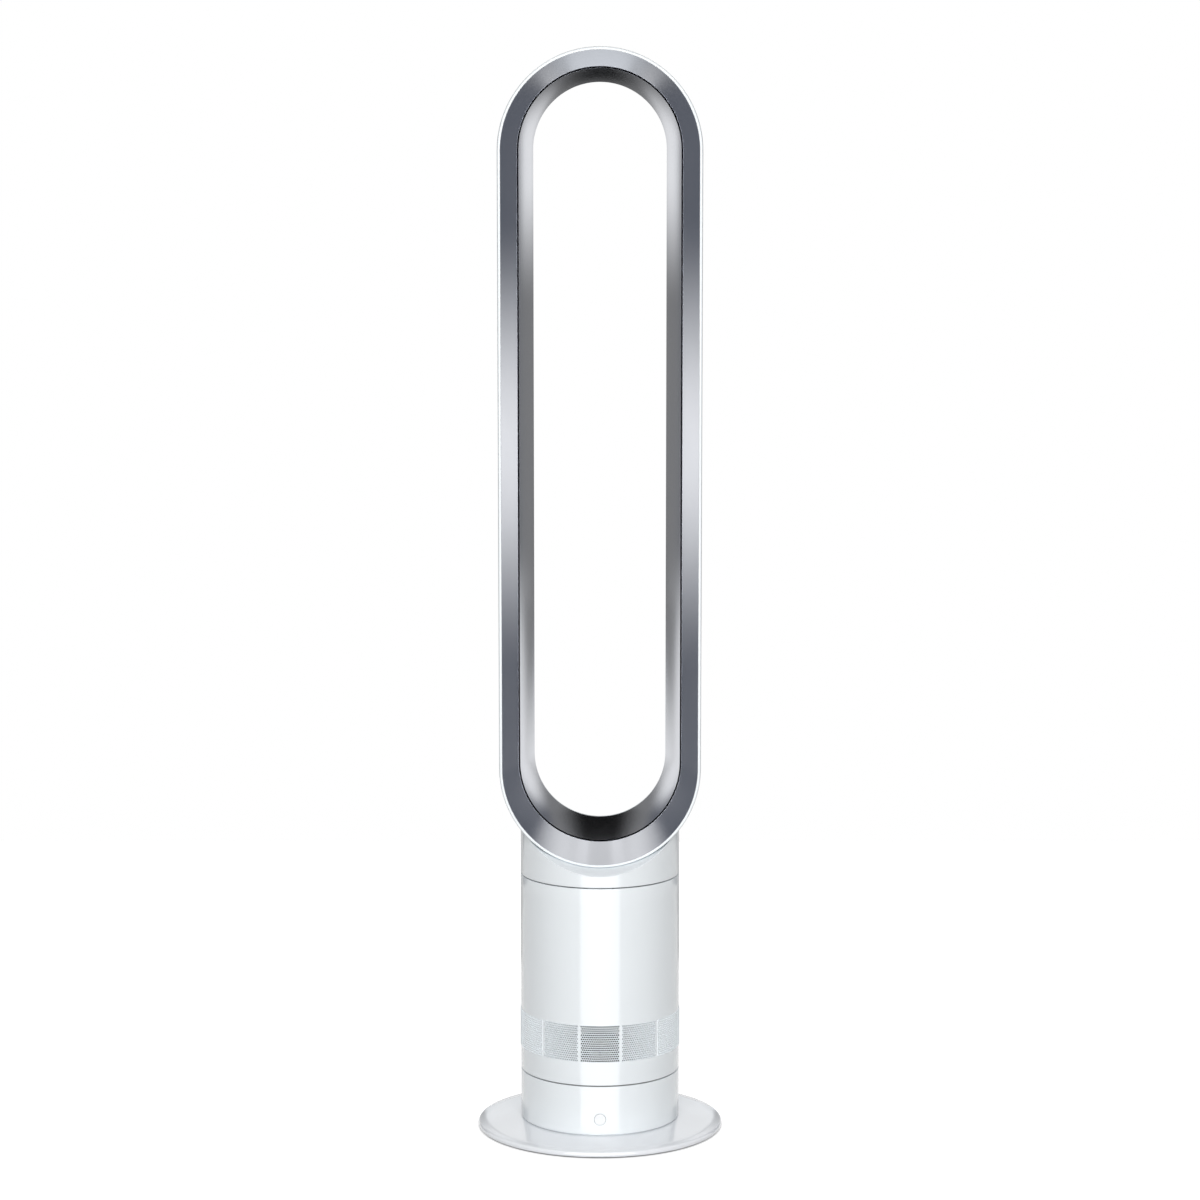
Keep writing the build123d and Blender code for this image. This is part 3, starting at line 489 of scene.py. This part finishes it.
class FAN_OT_inner_band(bpy.types.Operator):
    """Silver band from the slot's lip back to the throat, tucked under the outer shell's edge"""
    bl_idname = "fan.inner_band"
    bl_label = "Inner band"

    def execute(self, context):
        s = context.scene.fan_loop
        lip, thick, bulge = 0.05 * MM, 1.5 * MM, -0.5 * MM
        inside, end, ledge = s.slot_y + 12 * MM, s.throat_y - 0.1 * MM, s.throat_y - 8 * MM
        profile = outline(
            (s.slot_inner, inside), (s.slot_inner, s.slot_y + lip),
            bow((s.slot_inner - lip, s.slot_y), (s.throat, end), bulge, 32),
            (s.throat + thick, end), (s.throat + 1.7 * thick, ledge))
        add_loop_piece("band_skin", profile, s, silver_paint(), "loop_inner_band")
        return {"FINISHED"}


# ---- neck, body, grille, casing ----

class FAN_OT_neck(bpy.types.Operator):
    """Collar whose top is the saddle of a cylinder along Y, so that the loop sits in it"""
    bl_idname = "fan.neck"
    bl_label = "Neck"

    def execute(self, context):
        loop, s = context.scene.fan_loop, context.scene.fan_body
        low = corner("neck_collar", False, 2)
        spine = loop_levels(loop)[0]
        wall, port, port_y = 2.4 * MM, 32.0 * MM, 6.0 * MM
        fillet, roll, clear = 1.5 * MM, 22.0 * MM, 0.1 * MM
        columns, steps = 192, 12
        cradle = loop.radius + clear
        a = np.linspace(0.0, 2 * pi, columns + 1)[:-1][:, None]

        def level(x, radius):
            """Underside of a cylinder along Y round the lower spine: spine height less the root of
            radius squared less x squared."""
            return spine - np.sqrt(radius ** 2 - x ** 2)

        def inwards(r, radius, count):
            """Cradle surface from the circle r to the air port, its height following x."""
            u = np.linspace(0.0, 1.0, count + 1)[None, :]
            x = (1 - u) * r * np.cos(a) + u * port * np.cos(a)
            y = (1 - u) * r * np.sin(a) + u * (port_y + port * np.sin(a))
            return points_of(x, y, level(x, radius))

        top = level(s.radius * np.cos(a), cradle) - fillet
        climb = np.linspace(0.0, 1.0, steps + 1)[None, :]
        bend = np.radians(np.linspace(0.0, 90.0, steps + 1))[None, :]
        round_r = s.radius - roll + roll * np.cos(bend)
        edge = round_edge((s.radius - s.edge, low + s.edge), s.edge, s.edge, 270, 90, 5)[:-1]
        grid = np.concatenate([
            around(s.radius - wall, a, low),
            around(edge[:, 0], a, edge[:, 1]),
            around(s.radius, a, low + s.edge + (top - low - s.edge) * climb)[:, :-1],
            around(round_r, a, level(round_r * np.cos(a), cradle) - fillet * (1 - np.sin(bend))),
            inwards(s.radius - roll, cradle, 14)[:, 1:],
            inwards(s.radius - wall, cradle + wall, 10)[:, ::-1],
        ], axis=1)
        add_piece("neck_skin", [closed(grid)], neck_plastic(), "head", "neck_collar")
        return {"FINISHED"}


def panel_angles(s, radius, across):
    """Angle of each column of a panel at each radius: across times the window's half angle, and
    the panel's own edge where across is 2. The half angle leaves half a strip each side."""
    half = pi / PANELS
    window = half - np.arcsin(s.strip / 2 / radius)
    return np.where(np.abs(across) <= 1, across * window, np.sign(across) * half)


def panel(s, profile, across, turn):
    """Grid of a panel that faces one way: round the axis for each column and profile point."""
    r, z = np.atleast_2d(profile)[:, 0], np.atleast_2d(profile)[:, 1]
    return around(r, turn + panel_angles(s, r[None, :], np.asarray(across)[:, None]), z)


class FAN_OT_body(bpy.types.Operator):
    """Tall round cover with twelve inlet windows"""
    bl_idname = "fan.body"
    bl_label = "Body"

    def execute(self, context):
        s = context.scene.fan_body
        seam_low, seam_high, soft = 0.2 * MM, 0.65 * MM, 0.15 * MM
        low = corner("body_shell", False, 2) + seam_low
        high = corner("body_shell", True, 2) - seam_high
        inner = s.radius - s.wall
        edge_low = round_edge((s.radius - s.edge, low + s.edge), s.edge, s.edge, 270, 90, 5)
        edge_high = round_edge((s.radius - soft, high - soft), soft, soft, 0, 90, 3)
        below = outline((inner, low), edge_low, (s.radius, s.grille_low))
        above = outline(bow((s.radius, s.grille_high), (s.radius, high - soft), 0, 8), edge_high[1:],
                        (inner, high))
        inside = [outline((inner, low), (inner, s.grille_low)),
                  outline((inner, s.grille_high), (inner, high))]
        window = np.linspace(-1.0, 1.0, 13)
        whole = np.concatenate([[-2.0], window, [2.0]])
        span = [(s.radius, s.grille_low), (s.radius, s.grille_high)]
        span_in = [(inner, s.grille_low), (inner, s.grille_high)]
        patches = []
        for turn in np.arange(PANELS) * 2 * pi / PANELS - pi / 2:
            patches += [panel(s, part, whole, turn) for part in [below, above] + inside]
            for strip in ([-2.0, -1.0], [1.0, 2.0]):
                patches += [panel(s, outline(*part), strip, turn) for part in (span, span_in)]
            for level in (0, 1):
                patches.append(panel(s, outline(span[level], span_in[level]), window, turn))
            for side in (-1.0, 1.0):
                outer_edge = panel(s, outline(*span), [side], turn)
                inner_edge = panel(s, outline(*span_in), [side], turn)
                patches.append(np.concatenate([outer_edge, inner_edge]))
        add_piece("body_skin", patches, white_plastic(), "head", "body_shell")
        return {"FINISHED"}


def field_face(s):
    """Points and faces of one drilled field, flat in (across, up): a lattice of cells whose rows
    are shifted by half a cell in turn. Each holed cell is a ring of eight quads between its eight
    edge points and an octagon, and the half cells at the ends of the shorter rows are plain."""
    side_gap, end_gap = 0.06 * MM, 0.05 * MM
    half = s.radius * np.sin(panel_angles(s, s.radius, 1.0)) - side_gap
    step, rise = 2 * half / s.holes, (s.grille_high - s.grille_low - 2 * end_gap) / s.rows
    low = s.grille_low + end_gap
    turn = np.arange(8) * pi / 4
    square = np.stack([np.clip(np.cos(turn) * 2, -1, 1) * step / 2,
                       np.clip(np.sin(turn) * 2, -1, 1) * rise / 2], 1)
    octagon = np.stack([np.cos(turn), np.sin(turn)], 1) * s.hole / 2
    row = np.arange(s.rows)
    middles = []
    for odd in (0, 1):
        count = s.holes - odd
        across = (np.arange(count) - (count - 1) / 2) * step
        up = low + (row[odd::2] + 0.5) * rise
        middles.append(np.stack(np.meshgrid(across, up, indexing="ij"), 2).reshape(-1, 2))
    middle = np.concatenate(middles)[:, None, :]
    cells = np.concatenate([middle + square, middle + octagon], axis=1)
    k = np.arange(8)
    quads = np.stack([k, (k + 1) % 8, (k + 1) % 8 + 8, k + 8], 1)
    faces = (quads[None] + (np.arange(len(cells)) * cells.shape[1])[:, None, None]).reshape(-1, 4)
    across, up = np.array([-1.0, 1.0]) * (half - step / 4), low + (row[1::2] + 0.5) * rise
    ends = np.stack(np.meshgrid(across, up, indexing="ij"), 2).reshape(-1, 1, 2)
    plain = ends + square * np.array([0.5, 1.0])
    plain_faces = np.arange(plain.shape[0] * 8).reshape(-1, 8)[:, [0, 1, 3, 4, 5, 7]]
    return cells, faces, plain, plain_faces, half, rise, low


class FAN_OT_grille_fields(bpy.types.Operator):
    """Twelve raised fields of the air inlet, drilled in staggered rows along each field's own facing"""
    bl_idname = "fan.grille_fields"
    bl_label = "Grille fields"

    def execute(self, context):
        s = context.scene.fan_body
        cells, faces, plain, plain_faces, half, rise, low = field_face(s)
        face = s.radius + s.field_proud
        shrink = 0.985
        plastic = grille_plastic()

        def place(flat, deep, turn):
            """Flat (across, up) points wrapped on the field: the depth along its facing is the root
            of face squared less across squared, less the thickness for the back."""
            across, up = flat[..., 0], flat[..., 1]
            out = np.sqrt(face ** 2 - across ** 2) - deep * s.field_thickness
            across = across * (shrink if deep else 1.0)
            return points_of(out * np.cos(turn) - across * np.sin(turn),
                             out * np.sin(turn) + across * np.cos(turn), up)

        line = np.linspace(-half, half, 2 * s.holes + 1)
        climb = np.linspace(low, low + rise * s.rows, 2 * s.rows + 1)
        sides = [np.stack([line, 0 * line + low], 1), np.stack([line, 0 * line + climb[-1]], 1),
                 np.stack([0 * climb - half, climb], 1), np.stack([0 * climb + half, climb], 1)]
        for number in range(PANELS):
            turn = number * 2 * pi / PANELS - pi / 2
            patches = []
            for deep in (0, 1):
                patches.append((place(cells.reshape(-1, 2), deep, turn), faces))
                patches.append((place(plain.reshape(-1, 2), deep, turn), plain_faces))
            bore = np.concatenate([cells[:, 8:], cells[:, 8:9]], axis=1)
            stack = np.stack([place(bore, 0, turn), place(bore, 1, turn)], axis=1)
            first = np.arange(len(bore))[:, None, None] * 2 * bore.shape[1]
            patches.append((stack.reshape(-1, 3), (grid_faces(2, bore.shape[1]) + first).reshape(-1, 4)))
            for side in sides:
                patches.append(np.stack([place(side, 0, turn), place(side, 1, turn)]))
            add_piece("grille_field_%02d" % (number + 1), patches, plastic, "head", "inlet_grille")
        return {"FINISHED"}


class FAN_OT_casing(bpy.types.Operator):
    """Fixed lower casing with its deck, and round holes for the button and the cable gland"""
    bl_idname = "fan.casing"
    bl_label = "Lower casing"

    def execute(self, context):
        s = context.scene.fan_body
        low, high = corner("lower_casing", False, 2), corner("lower_casing", True, 2)
        inner, cell, reach, below = s.radius - s.wall, 1.25 * MM, 7, 11
        deck_low, deck_high, deck_hole, shoulder = 46.0 * MM, 48.5 * MM, 7.0 * MM, 42.0 * MM
        button_hole, gland_hole = s.button_radius + s.button_gap, 5.0 * MM
        rebate, gap, soft = 2.0 * MM, 1.1 * MM, 0.15 * MM
        patch = cell * reach
        rows = s.button_z + cell * np.arange(-below, reach + 1)

        def columns(r, across):
            """Angle from the facing: the arc sine of across over r inside the patch."""
            return np.arcsin(across / np.maximum(r, inner))

        def wall(r, z, facing, across):
            """Wall points at radius r and height z, a distance across from the facing."""
            return around(r, facing + columns(r, across), z)

        def sector(profile, facing):
            """Strip of wall as wide as the hole's patch."""
            across = (cell * np.arange(-reach, reach + 1))[:, None]
            return wall(profile[:, 0][None], profile[:, 1][None], facing, across)

        def flank(profile, facing):
            """Wall from one patch round to the other, in even steps of angle."""
            steps = 60
            edge = columns(profile[:, 0], patch)
            u = np.linspace(0.0, 1.0, steps + 1)[:, None]
            return around(profile[:, 0], facing + edge + (pi - 2 * edge) * u, profile[:, 1])

        def drilled(r, facing, middle_z, hole, rounding):
            """Square patch with a round hole: rings from the square's edge to the hole's edge."""
            k = cell * np.arange(-reach, reach + 1)
            one = 0 * k[:-1] + patch
            square = np.concatenate([np.stack([k[:-1], -one], 1), np.stack([one, k[:-1]], 1),
                                     np.stack([-k[:-1], one], 1), np.stack([-one, -k[:-1]], 1)])
            square = np.concatenate([square, square[:1]])
            unit = square / np.linalg.norm(square, axis=1, keepdims=True)
            blend, part = 0.45, 0.3
            rings = [square, blend * square + (1 - blend) * unit * (hole + rounding),
                     unit * (hole + rounding), unit * (hole + part * rounding), unit * hole]
            drop = np.array([0, 0, 0, part, 1.0])[:, None] * rounding
            grid = np.stack(rings)
            return wall(r - drop, middle_z + grid[..., 1], facing, grid[..., 0])

        edge_low = outline((s.radius - rebate, low), (s.radius - rebate, low + gap),
                           round_edge((s.radius - soft, low + gap + soft), soft, soft, 270, 90, 3))
        edge_high = round_edge((s.radius - s.edge, high - s.edge), s.edge, s.edge, 0, 90, 5)
        outer_rows = np.stack([0 * rows + s.radius, rows], 1)
        inner_rows = np.stack([0 * rows + inner, rows[::-1]], 1)
        shelf = [(inner, deck_high), (deck_hole, deck_high), (deck_hole, deck_low), (inner, deck_low)]
        head = outline((s.radius, shoulder), edge_high, (inner, high), *shelf)
        whole = outline((inner, low), edge_low, outer_rows, head, inner_rows, (inner, low))
        patches = []
        for facing, middle_z, hole in ((-pi / 2, s.button_z, button_hole), (pi / 2, s.gland_z, gland_hole)):
            patches.append(flank(whole, facing))
            first = int(round((middle_z - patch - rows[0]) / cell))
            last = first + 2 * reach
            patches.append(sector(outline((inner, low), edge_low, outer_rows[:first + 1]), facing))
            patches.append(sector(outline(outer_rows[last:], head, inner_rows[:len(rows) - last]), facing))
            patches.append(sector(outline(inner_rows[len(rows) - 1 - first:], (inner, low)), facing))
            outside = drilled(s.radius, facing, middle_z, hole, soft)
            inside = drilled(inner, facing, middle_z, hole, 0.0)
            patches += [outside, inside, np.stack([outside[-1], inside[-1]])]
        add_piece("casing_skin", patches, white_plastic(), "base", "lower_casing")
        return {"FINISHED"}


class FAN_OT_power_button(bpy.types.Operator):
    """Round button with a softly rounded edge and a shallow dish, its flange and stem behind"""
    bl_idname = "fan.power_button"
    bl_label = "Power button"

    def execute(self, context):
        s = context.scene.fan_body
        front, rear = corner("power_button", False, 1), corner("power_button", True, 1)
        radius, soft, dish = s.button_radius, 0.5 * MM, 0.12 * MM
        flange_radius, stem, start, end = 6.6 * MM, 2.0 * MM, front + 4.45 * MM, front + 5.65 * MM
        # the dish's depth falls from its middle as (1 less u squared) squared does
        u = np.linspace(0.0, 1.0, 9)
        profile = outline(
            np.stack([u * (radius - soft), front + dish * (1 - u ** 2) ** 2], 1),
            round_edge((radius - soft, front + soft), soft, soft, 270, 90, 8),
            (radius, start), (flange_radius, start), (flange_radius, end), (stem, end), (stem, rear),
            (0, rear))
        a = np.linspace(0.0, 2 * pi, 65)[:, None]
        r, y = profile[:, 0], profile[:, 1]
        grid = points_of(r * np.cos(a), y, s.button_z + r * np.sin(a))
        material = finish("button_plastic", "white", values={"Gloss": 0.28, "Spread": 0.06, "Tone": 0.01},
                          Specular_IOR_Level=0.5)
        add_piece("button_skin", [grid], material, "button", "power_button")
        return {"FINISHED"}


class FAN_OT_base_plate(bpy.types.Operator):
    """Base plate with its rim rounded over from the underside's chamfer to the cone"""
    bl_idname = "fan.base_plate"
    bl_label = "Base plate"

    def execute(self, context):
        mesh = frame["nodes"]["base_plate"].data.copy()
        merge_doubles(mesh)
        points = np.empty(3 * len(mesh.vertices), np.float32)
        mesh.vertices.foreach_get("co", points)
        points = points.reshape(-1, 3)
        low, high, drop, rim_radius, above = 1.9 * MM, 5.9 * MM, 3.0 * MM, 112.9 * MM, 1.01
        radius = np.hypot(points[:, 0], points[:, 1])
        rim = (radius > rim_radius) & (points[:, 2] > above * low)
        # the rim's radius falls by drop times (1 less the root of 1 less t squared), where t runs from 0
        # at the chamfer to 1 at the cone
        t = (points[rim, 2] - low) / (high - low)
        outer = corner("base_plate", True, 0) - drop * (1 - np.sqrt(1 - t ** 2))
        points[rim, :2] *= (outer / radius[rim])[:, None]
        mesh.vertices.foreach_set("co", points.ravel())
        dress("base_plate_skin", mesh, plate_plastic(), "base", "base_plate", sharp=34.0)
        return {"FINISHED"}


# ---- finishes of the CAD nodes that stay ----

class FAN_OT_node_finishes(bpy.types.Operator):
    """Gives every CAD node that stays its own finish, from its material slot in the record"""
    bl_idname = "fan.node_finishes"
    bl_label = "Node finishes"

    def execute(self, context):
        made = {
            "white_plastic": white_plastic(),
            "silver_finish": silver_paint(),
            "button_plastic": white_plastic(),
            "grey_plastic": finish("grey_moulding", "grey", bump=0.2, values={"Gloss": 0.45, "Tone": 0.08}),
            "gear_plastic": finish("acetal", "gear", bump=0.1, values={"Gloss": 0.38, "Tone": 0.05}),
            "dark_plastic": finish("dark_moulding", "dark", bump=0.25, values={"Gloss": 0.5, "Tone": 0.15}),
            "rubber": finish("rubber", "rubber", bump=0.4,
                             values={"Gloss": 0.72, "Tone": 0.25, "Grain": 1500.0}),
            "foam": finish("open_foam", "foam", bump=0.9, distance=0.0004,
                           values={"Gloss": 0.92, "Tone": 0.5, "Grain": 700.0}),
            "steel": finish("plain_steel", "steel", bump=0.15, Metallic=1.0,
                            values={"Gloss": 0.32, "Spread": 0.15, "Tone": 0.1}),
            "magnet": finish("ferrite", "dark", bump=0.3, values={"Gloss": 0.55, "Tone": 0.2}, Metallic=0.6),
            "winding": finish("enamelled_copper", "copper", bump=0.6, distance=0.0002, Metallic=0.9,
                              values={"Gloss": 0.3, "Tone": 0.3, "Grain": 900.0}),
            "board": finish("solder_resist", "board", bump=0.15, values={"Gloss": 0.3, "Tone": 0.2}),
            "board_black": finish("component_black", "dark", bump=0.2, values={"Gloss": 0.4, "Tone": 0.2}),
        }
        for part in frame["record"]["subparts"]:
            mesh = frame["nodes"][part["node"]].data
            mesh.materials.clear()
            mesh.materials.append(made[part["material_slot"]])
        return {"FINISHED"}


# ---- stage ----

def light_path_level(tree, levels):
    """Value for the kind of ray: levels are for camera, glossy or transmission, and other rays."""
    path = add_node(tree, "ShaderNodeLightPath")
    shine = maths(tree, "MAXIMUM", path.outputs["Is Glossy Ray"], path.outputs["Is Transmission Ray"])
    back = add_node(tree, "ShaderNodeMix", {"A": levels[2], "B": levels[1]}, {"Factor": shine})
    return add_node(tree, "ShaderNodeMix", {"B": levels[0]},
                    {"Factor": path.outputs["Is Camera Ray"], "A": back.outputs[0]}).outputs[0]


def add_sheet(name, corners, material):
    """Rectangle of the stage, from its corners in turn."""
    mesh = bpy.data.meshes.new(name)
    mesh.from_pydata(corners, [], [(0, 1, 2, 3)])
    mesh.materials.append(material)
    sheet = bpy.data.objects.new(name, mesh)
    bpy.context.scene.collection.objects.link(sheet)
    return sheet


def flat_card(name, low, high, y, level, soft, tint):
    """Card that only gloss reflects, between two (x, z) corners at one depth. It fades out towards
    its sides, its lower and its upper edge over the three soft lengths."""
    material, tree = new_material(name)
    tree.nodes.clear()
    place = add_node(tree, "ShaderNodeTexCoord")
    split = add_node(tree, "ShaderNodeSeparateXYZ", {}, {0: place.outputs["Object"]})
    middle, reach = (low[0] + high[0]) / 2, abs(high[0] - low[0]) / 2
    away = maths(tree, "ABSOLUTE", maths(tree, "SUBTRACT", split.outputs[0], middle))
    across = map_range(tree, away, reach - soft[0], reach, 1.0, 0.0)
    below = map_range(tree, split.outputs[2], low[1], low[1] + soft[1], 0.0, 1.0)
    above = map_range(tree, split.outputs[2], high[1] - soft[2], high[1], 1.0, 0.0)
    fade = maths(tree, "MULTIPLY", maths(tree, "MULTIPLY", below, above), across)
    glow = add_node(tree, "ShaderNodeEmission", {"Color": (*tint, 1.0), "Strength": level})
    clear = add_node(tree, "ShaderNodeBsdfTransparent")
    mix = add_node(tree, "ShaderNodeMixShader", {}, {0: fade, 1: clear.outputs[0], 2: glow.outputs[0]})
    add_node(tree, "ShaderNodeOutputMaterial", {}, {0: mix.outputs[0]})
    card = add_sheet(name, [(low[0], y, low[1]), (high[0], y, low[1]), (high[0], y, high[1]),
                            (low[0], y, high[1])], material)
    for way in ("camera", "diffuse", "transmission", "volume_scatter", "shadow"):
        setattr(card, "visible_" + way, False)


def white_surround(scene, s):
    """World that is white to the camera, with plain levels for gloss and for matt surfaces."""
    world = bpy.data.worlds.new("white_surround")
    scene.world = world
    world.use_nodes = True
    tree = world.node_tree
    back = tree.nodes["Background"]
    back.inputs["Color"].default_value = (1.0, 1.0, 1.0, 1.0)
    tree.links.new(light_path_level(tree, (1.0, s.surround, s.ambient)), back.inputs["Strength"])


def pale_floor():
    """Square matt floor with a glow of its own, which ends under the rim of the base plate: a painted shadow
    under the rim.
    """
    reach, dark, bright, levels = 1.3, 111 * MM, 116 * MM, (0.60, 0.38, 0.0)
    material, tree = new_material("pale_floor")
    shader = tree.nodes["Principled BSDF"]
    shader.inputs["Base Color"].default_value = (0.6, 0.6, 0.6, 1.0)
    shader.inputs["Roughness"].default_value = 0.9
    shader.inputs["Specular IOR Level"].default_value = 0.0
    shader.inputs["Emission Color"].default_value = (1.0, 1.0, 1.0, 1.0)
    place = add_node(tree, "ShaderNodeTexCoord")
    away = add_node(tree, "ShaderNodeVectorMath", {}, {0: place.outputs["Object"]}, operation="LENGTH")
    # the glow fades to nothing between these radii under the plate's rim, which paints a shadow there
    outside_painted_shadow = map_range(tree, away.outputs["Value"], dark, bright, 0.0, 1.0)
    glow = maths(tree, "MULTIPLY", outside_painted_shadow, light_path_level(tree, levels))
    tree.links.new(glow, shader.inputs["Emission Strength"])
    add_sheet("floor", [(-reach, -reach, 0), (reach, -reach, 0), (reach, reach, 0), (-reach, reach, 0)],
              material)


def add_lamps(scene, s):
    """Rectangular lamps that gloss doesn't show: name, power, place, tilt, turn, width and height."""
    for name, energy, place, tilt, turn, width, height in (
            ("front_lamp", s.key, (0.0, -3.6, 1.9), 70.0, 0.0, 2.4, 1.6),
            ("top_lamp", s.top, (0.0, 1.1, 2.3), -26.0, 0.0, 2.2, 1.0),
            ("rear_lamp_left", s.rear, (-2.2, 2.6, 1.3), 75.0, 220.0, 1.2, 1.6),
            ("rear_lamp_right", s.rear, (2.2, 2.6, 1.3), 75.0, 140.0, 1.2, 1.6)):
        lamp = bpy.data.lights.new(name, "AREA")
        lamp.shape = "RECTANGLE"
        lamp.size, lamp.size_y = width, height
        lamp.energy = energy
        holder = bpy.data.objects.new(name, lamp)
        holder.location = place
        holder.rotation_euler = (radians(tilt), 0.0, radians(turn))
        holder.visible_glossy = False
        scene.collection.objects.link(holder)


def add_cards(s):
    """Cards whose reflections make the bright and dark stretches along the silver surfaces."""
    white, cool, pale = (1.0, 1.0, 1.0), (0.93, 1.0, 1.18), (0.97, 1.0, 1.03)
    # at both sides: name, nearest and farthest x, lowest and highest z, depth, level, soft lengths, tint
    pairs = (
        ("flare_glow", 0.054, 0.136, 0.395, 0.850, 0.15, 1.16 * s.window, (0.03, 0.225, 0.225), white),
        ("band_glow_low", 0.075, 0.165, 0.02, 0.39, 0.40, s.window, (0.02, 0.18, 0.16), white),
        ("band_dim_low", 0.18, 0.31, 0.0, 0.43, 0.60, 0.20, (0.03, 0.01, 0.05), white),
        ("wall_side", 0.26, 0.60, 0.0, 0.44, 0.79, 0.60, (0.16, 0.01, 0.16), white),
        ("corner_glow_low", 0.158, 0.26, 0.10, 0.43, 0.41, s.window, (0.02, 0.18, 0.16), white),
        ("corner_glow_mid", 0.195, 0.28, 0.24, 0.50, 0.42, s.window, (0.02, 0.08, 0.16), white),
        ("band_glow_high", 0.065, 0.205, 0.745, 1.20, 0.40, s.window, (0.04, 0.14, 0.1), white),
        ("flare_shade", 0.10, 1.50, 0.0, 1.55, 1.05, s.shade, (0.2, 0.01, 0.5), cool))
    for side, name in ((-1, "left"), (1, "right")):
        for card, near, far, low, high, y, level, soft, tint in pairs:
            flat_card(card + "_" + name, (side * near, low), (side * far, high), y, level, soft, tint)
    # across the middle: name, half width, lowest and highest z, depth, level, soft lengths, tint
    for card, half, low, high, y, level, soft, tint in (
            ("band_shade", 0.68, 0.22, 1.30, 1.02, 0.22, (0.1, 0.1, 0.1), white),
            ("centre_shade_low", 0.42, 0.0, 0.68, 1.01, 0.0, (0.36, 0.01, 0.26), white),
            ("centre_shade_high", 0.62, 0.72, 1.52, 1.00, 0.0, (0.42, 0.12, 0.1), white),
            ("wall_low", 0.60, 0.0, 0.38, 0.80, 0.79, (0.34, 0.01, 0.13), pale),
            ("wall_high", 1.20, 1.25, 2.60, 1.06, 0.73, (0.15, 0.1, 0.2), white),
            ("front_card", 0.25, 0.0, 1.25, -1.0, s.strip, (0.05, 0.01, 0.05), white),
            ("strip_card", 0.050, 0.0, 0.30, -0.128, s.strip, (0.006, 0.001, 0.01), white)):
        flat_card(card, (-half, low), (half, high), y, level, soft, tint)


def add_camera(scene):
    """Camera in front of the fan, a little above its middle and tilted down."""
    focal, sensor, distance, height, down = 107.58, 36.0, 3.2925, 0.9594, 7.942
    lens = bpy.data.cameras.new("camera")
    lens.lens, lens.sensor_width = focal, sensor
    camera = bpy.data.objects.new("camera", lens)
    camera.location = (0.0, -distance, height)
    camera.rotation_euler = (radians(90.0 - down), 0.0, 0.0)
    scene.collection.objects.link(camera)
    scene.camera = camera


class FAN_OT_stage(bpy.types.Operator):
    """Pale floor, white surround, lamps, reflection cards and the camera"""
    bl_idname = "fan.stage"
    bl_label = "Stage"

    def execute(self, context):
        scene, s = context.scene, context.scene.fan_stage
        scene.view_settings.view_transform = "Standard"
        white_surround(scene, s)
        pale_floor()
        add_lamps(scene, s)
        add_cards(s)
        add_camera(scene)
        return {"FINISHED"}


class FAN_PT_panel(bpy.types.Panel):
    """Lists the fan's pieces, the stage and the sizes"""
    bl_label = "Fan"
    bl_idname = "FAN_PT_panel"
    bl_space_type = "VIEW_3D"
    bl_region_type = "UI"
    bl_category = "Fan"

    def draw(self, context):
        layout = self.layout
        for kind in OPERATORS:
            layout.operator(kind.bl_idname)
        for name, kind in SETTINGS.items():
            column = layout.column(align=True)
            for key in kind.__annotations__:
                column.prop(getattr(context.scene, name), key)


OPERATORS = (
    FAN_OT_node_finishes, FAN_OT_loop_shell, FAN_OT_front_flare, FAN_OT_inner_band, FAN_OT_neck,
    FAN_OT_body, FAN_OT_grille_fields, FAN_OT_casing, FAN_OT_power_button, FAN_OT_base_plate, FAN_OT_stage,
)
SETTINGS = {"fan_loop": LoopSizes, "fan_body": BodySizes, "fan_finishes": Finishes,
            "fan_stage": StageLevels}


def register():
    """Registers the classes and hangs the settings on the scene."""
    for kind in tuple(SETTINGS.values()) + OPERATORS + (FAN_PT_panel,):
        bpy.utils.register_class(kind)
    for name, kind in SETTINGS.items():
        setattr(bpy.types.Scene, name, PointerProperty(type=kind))


def unregister():
    """Takes back what register did."""
    for name in SETTINGS:
        delattr(bpy.types.Scene, name)
    for kind in reversed(tuple(SETTINGS.values()) + OPERATORS + (FAN_PT_panel,)):
        bpy.utils.unregister_class(kind)


def main():
    """Runs every operator."""
    register()
    for kind in OPERATORS:
        family, name = kind.bl_idname.split(".")
        getattr(getattr(bpy.ops, family), name)()


if __name__ == "__main__":
    main()
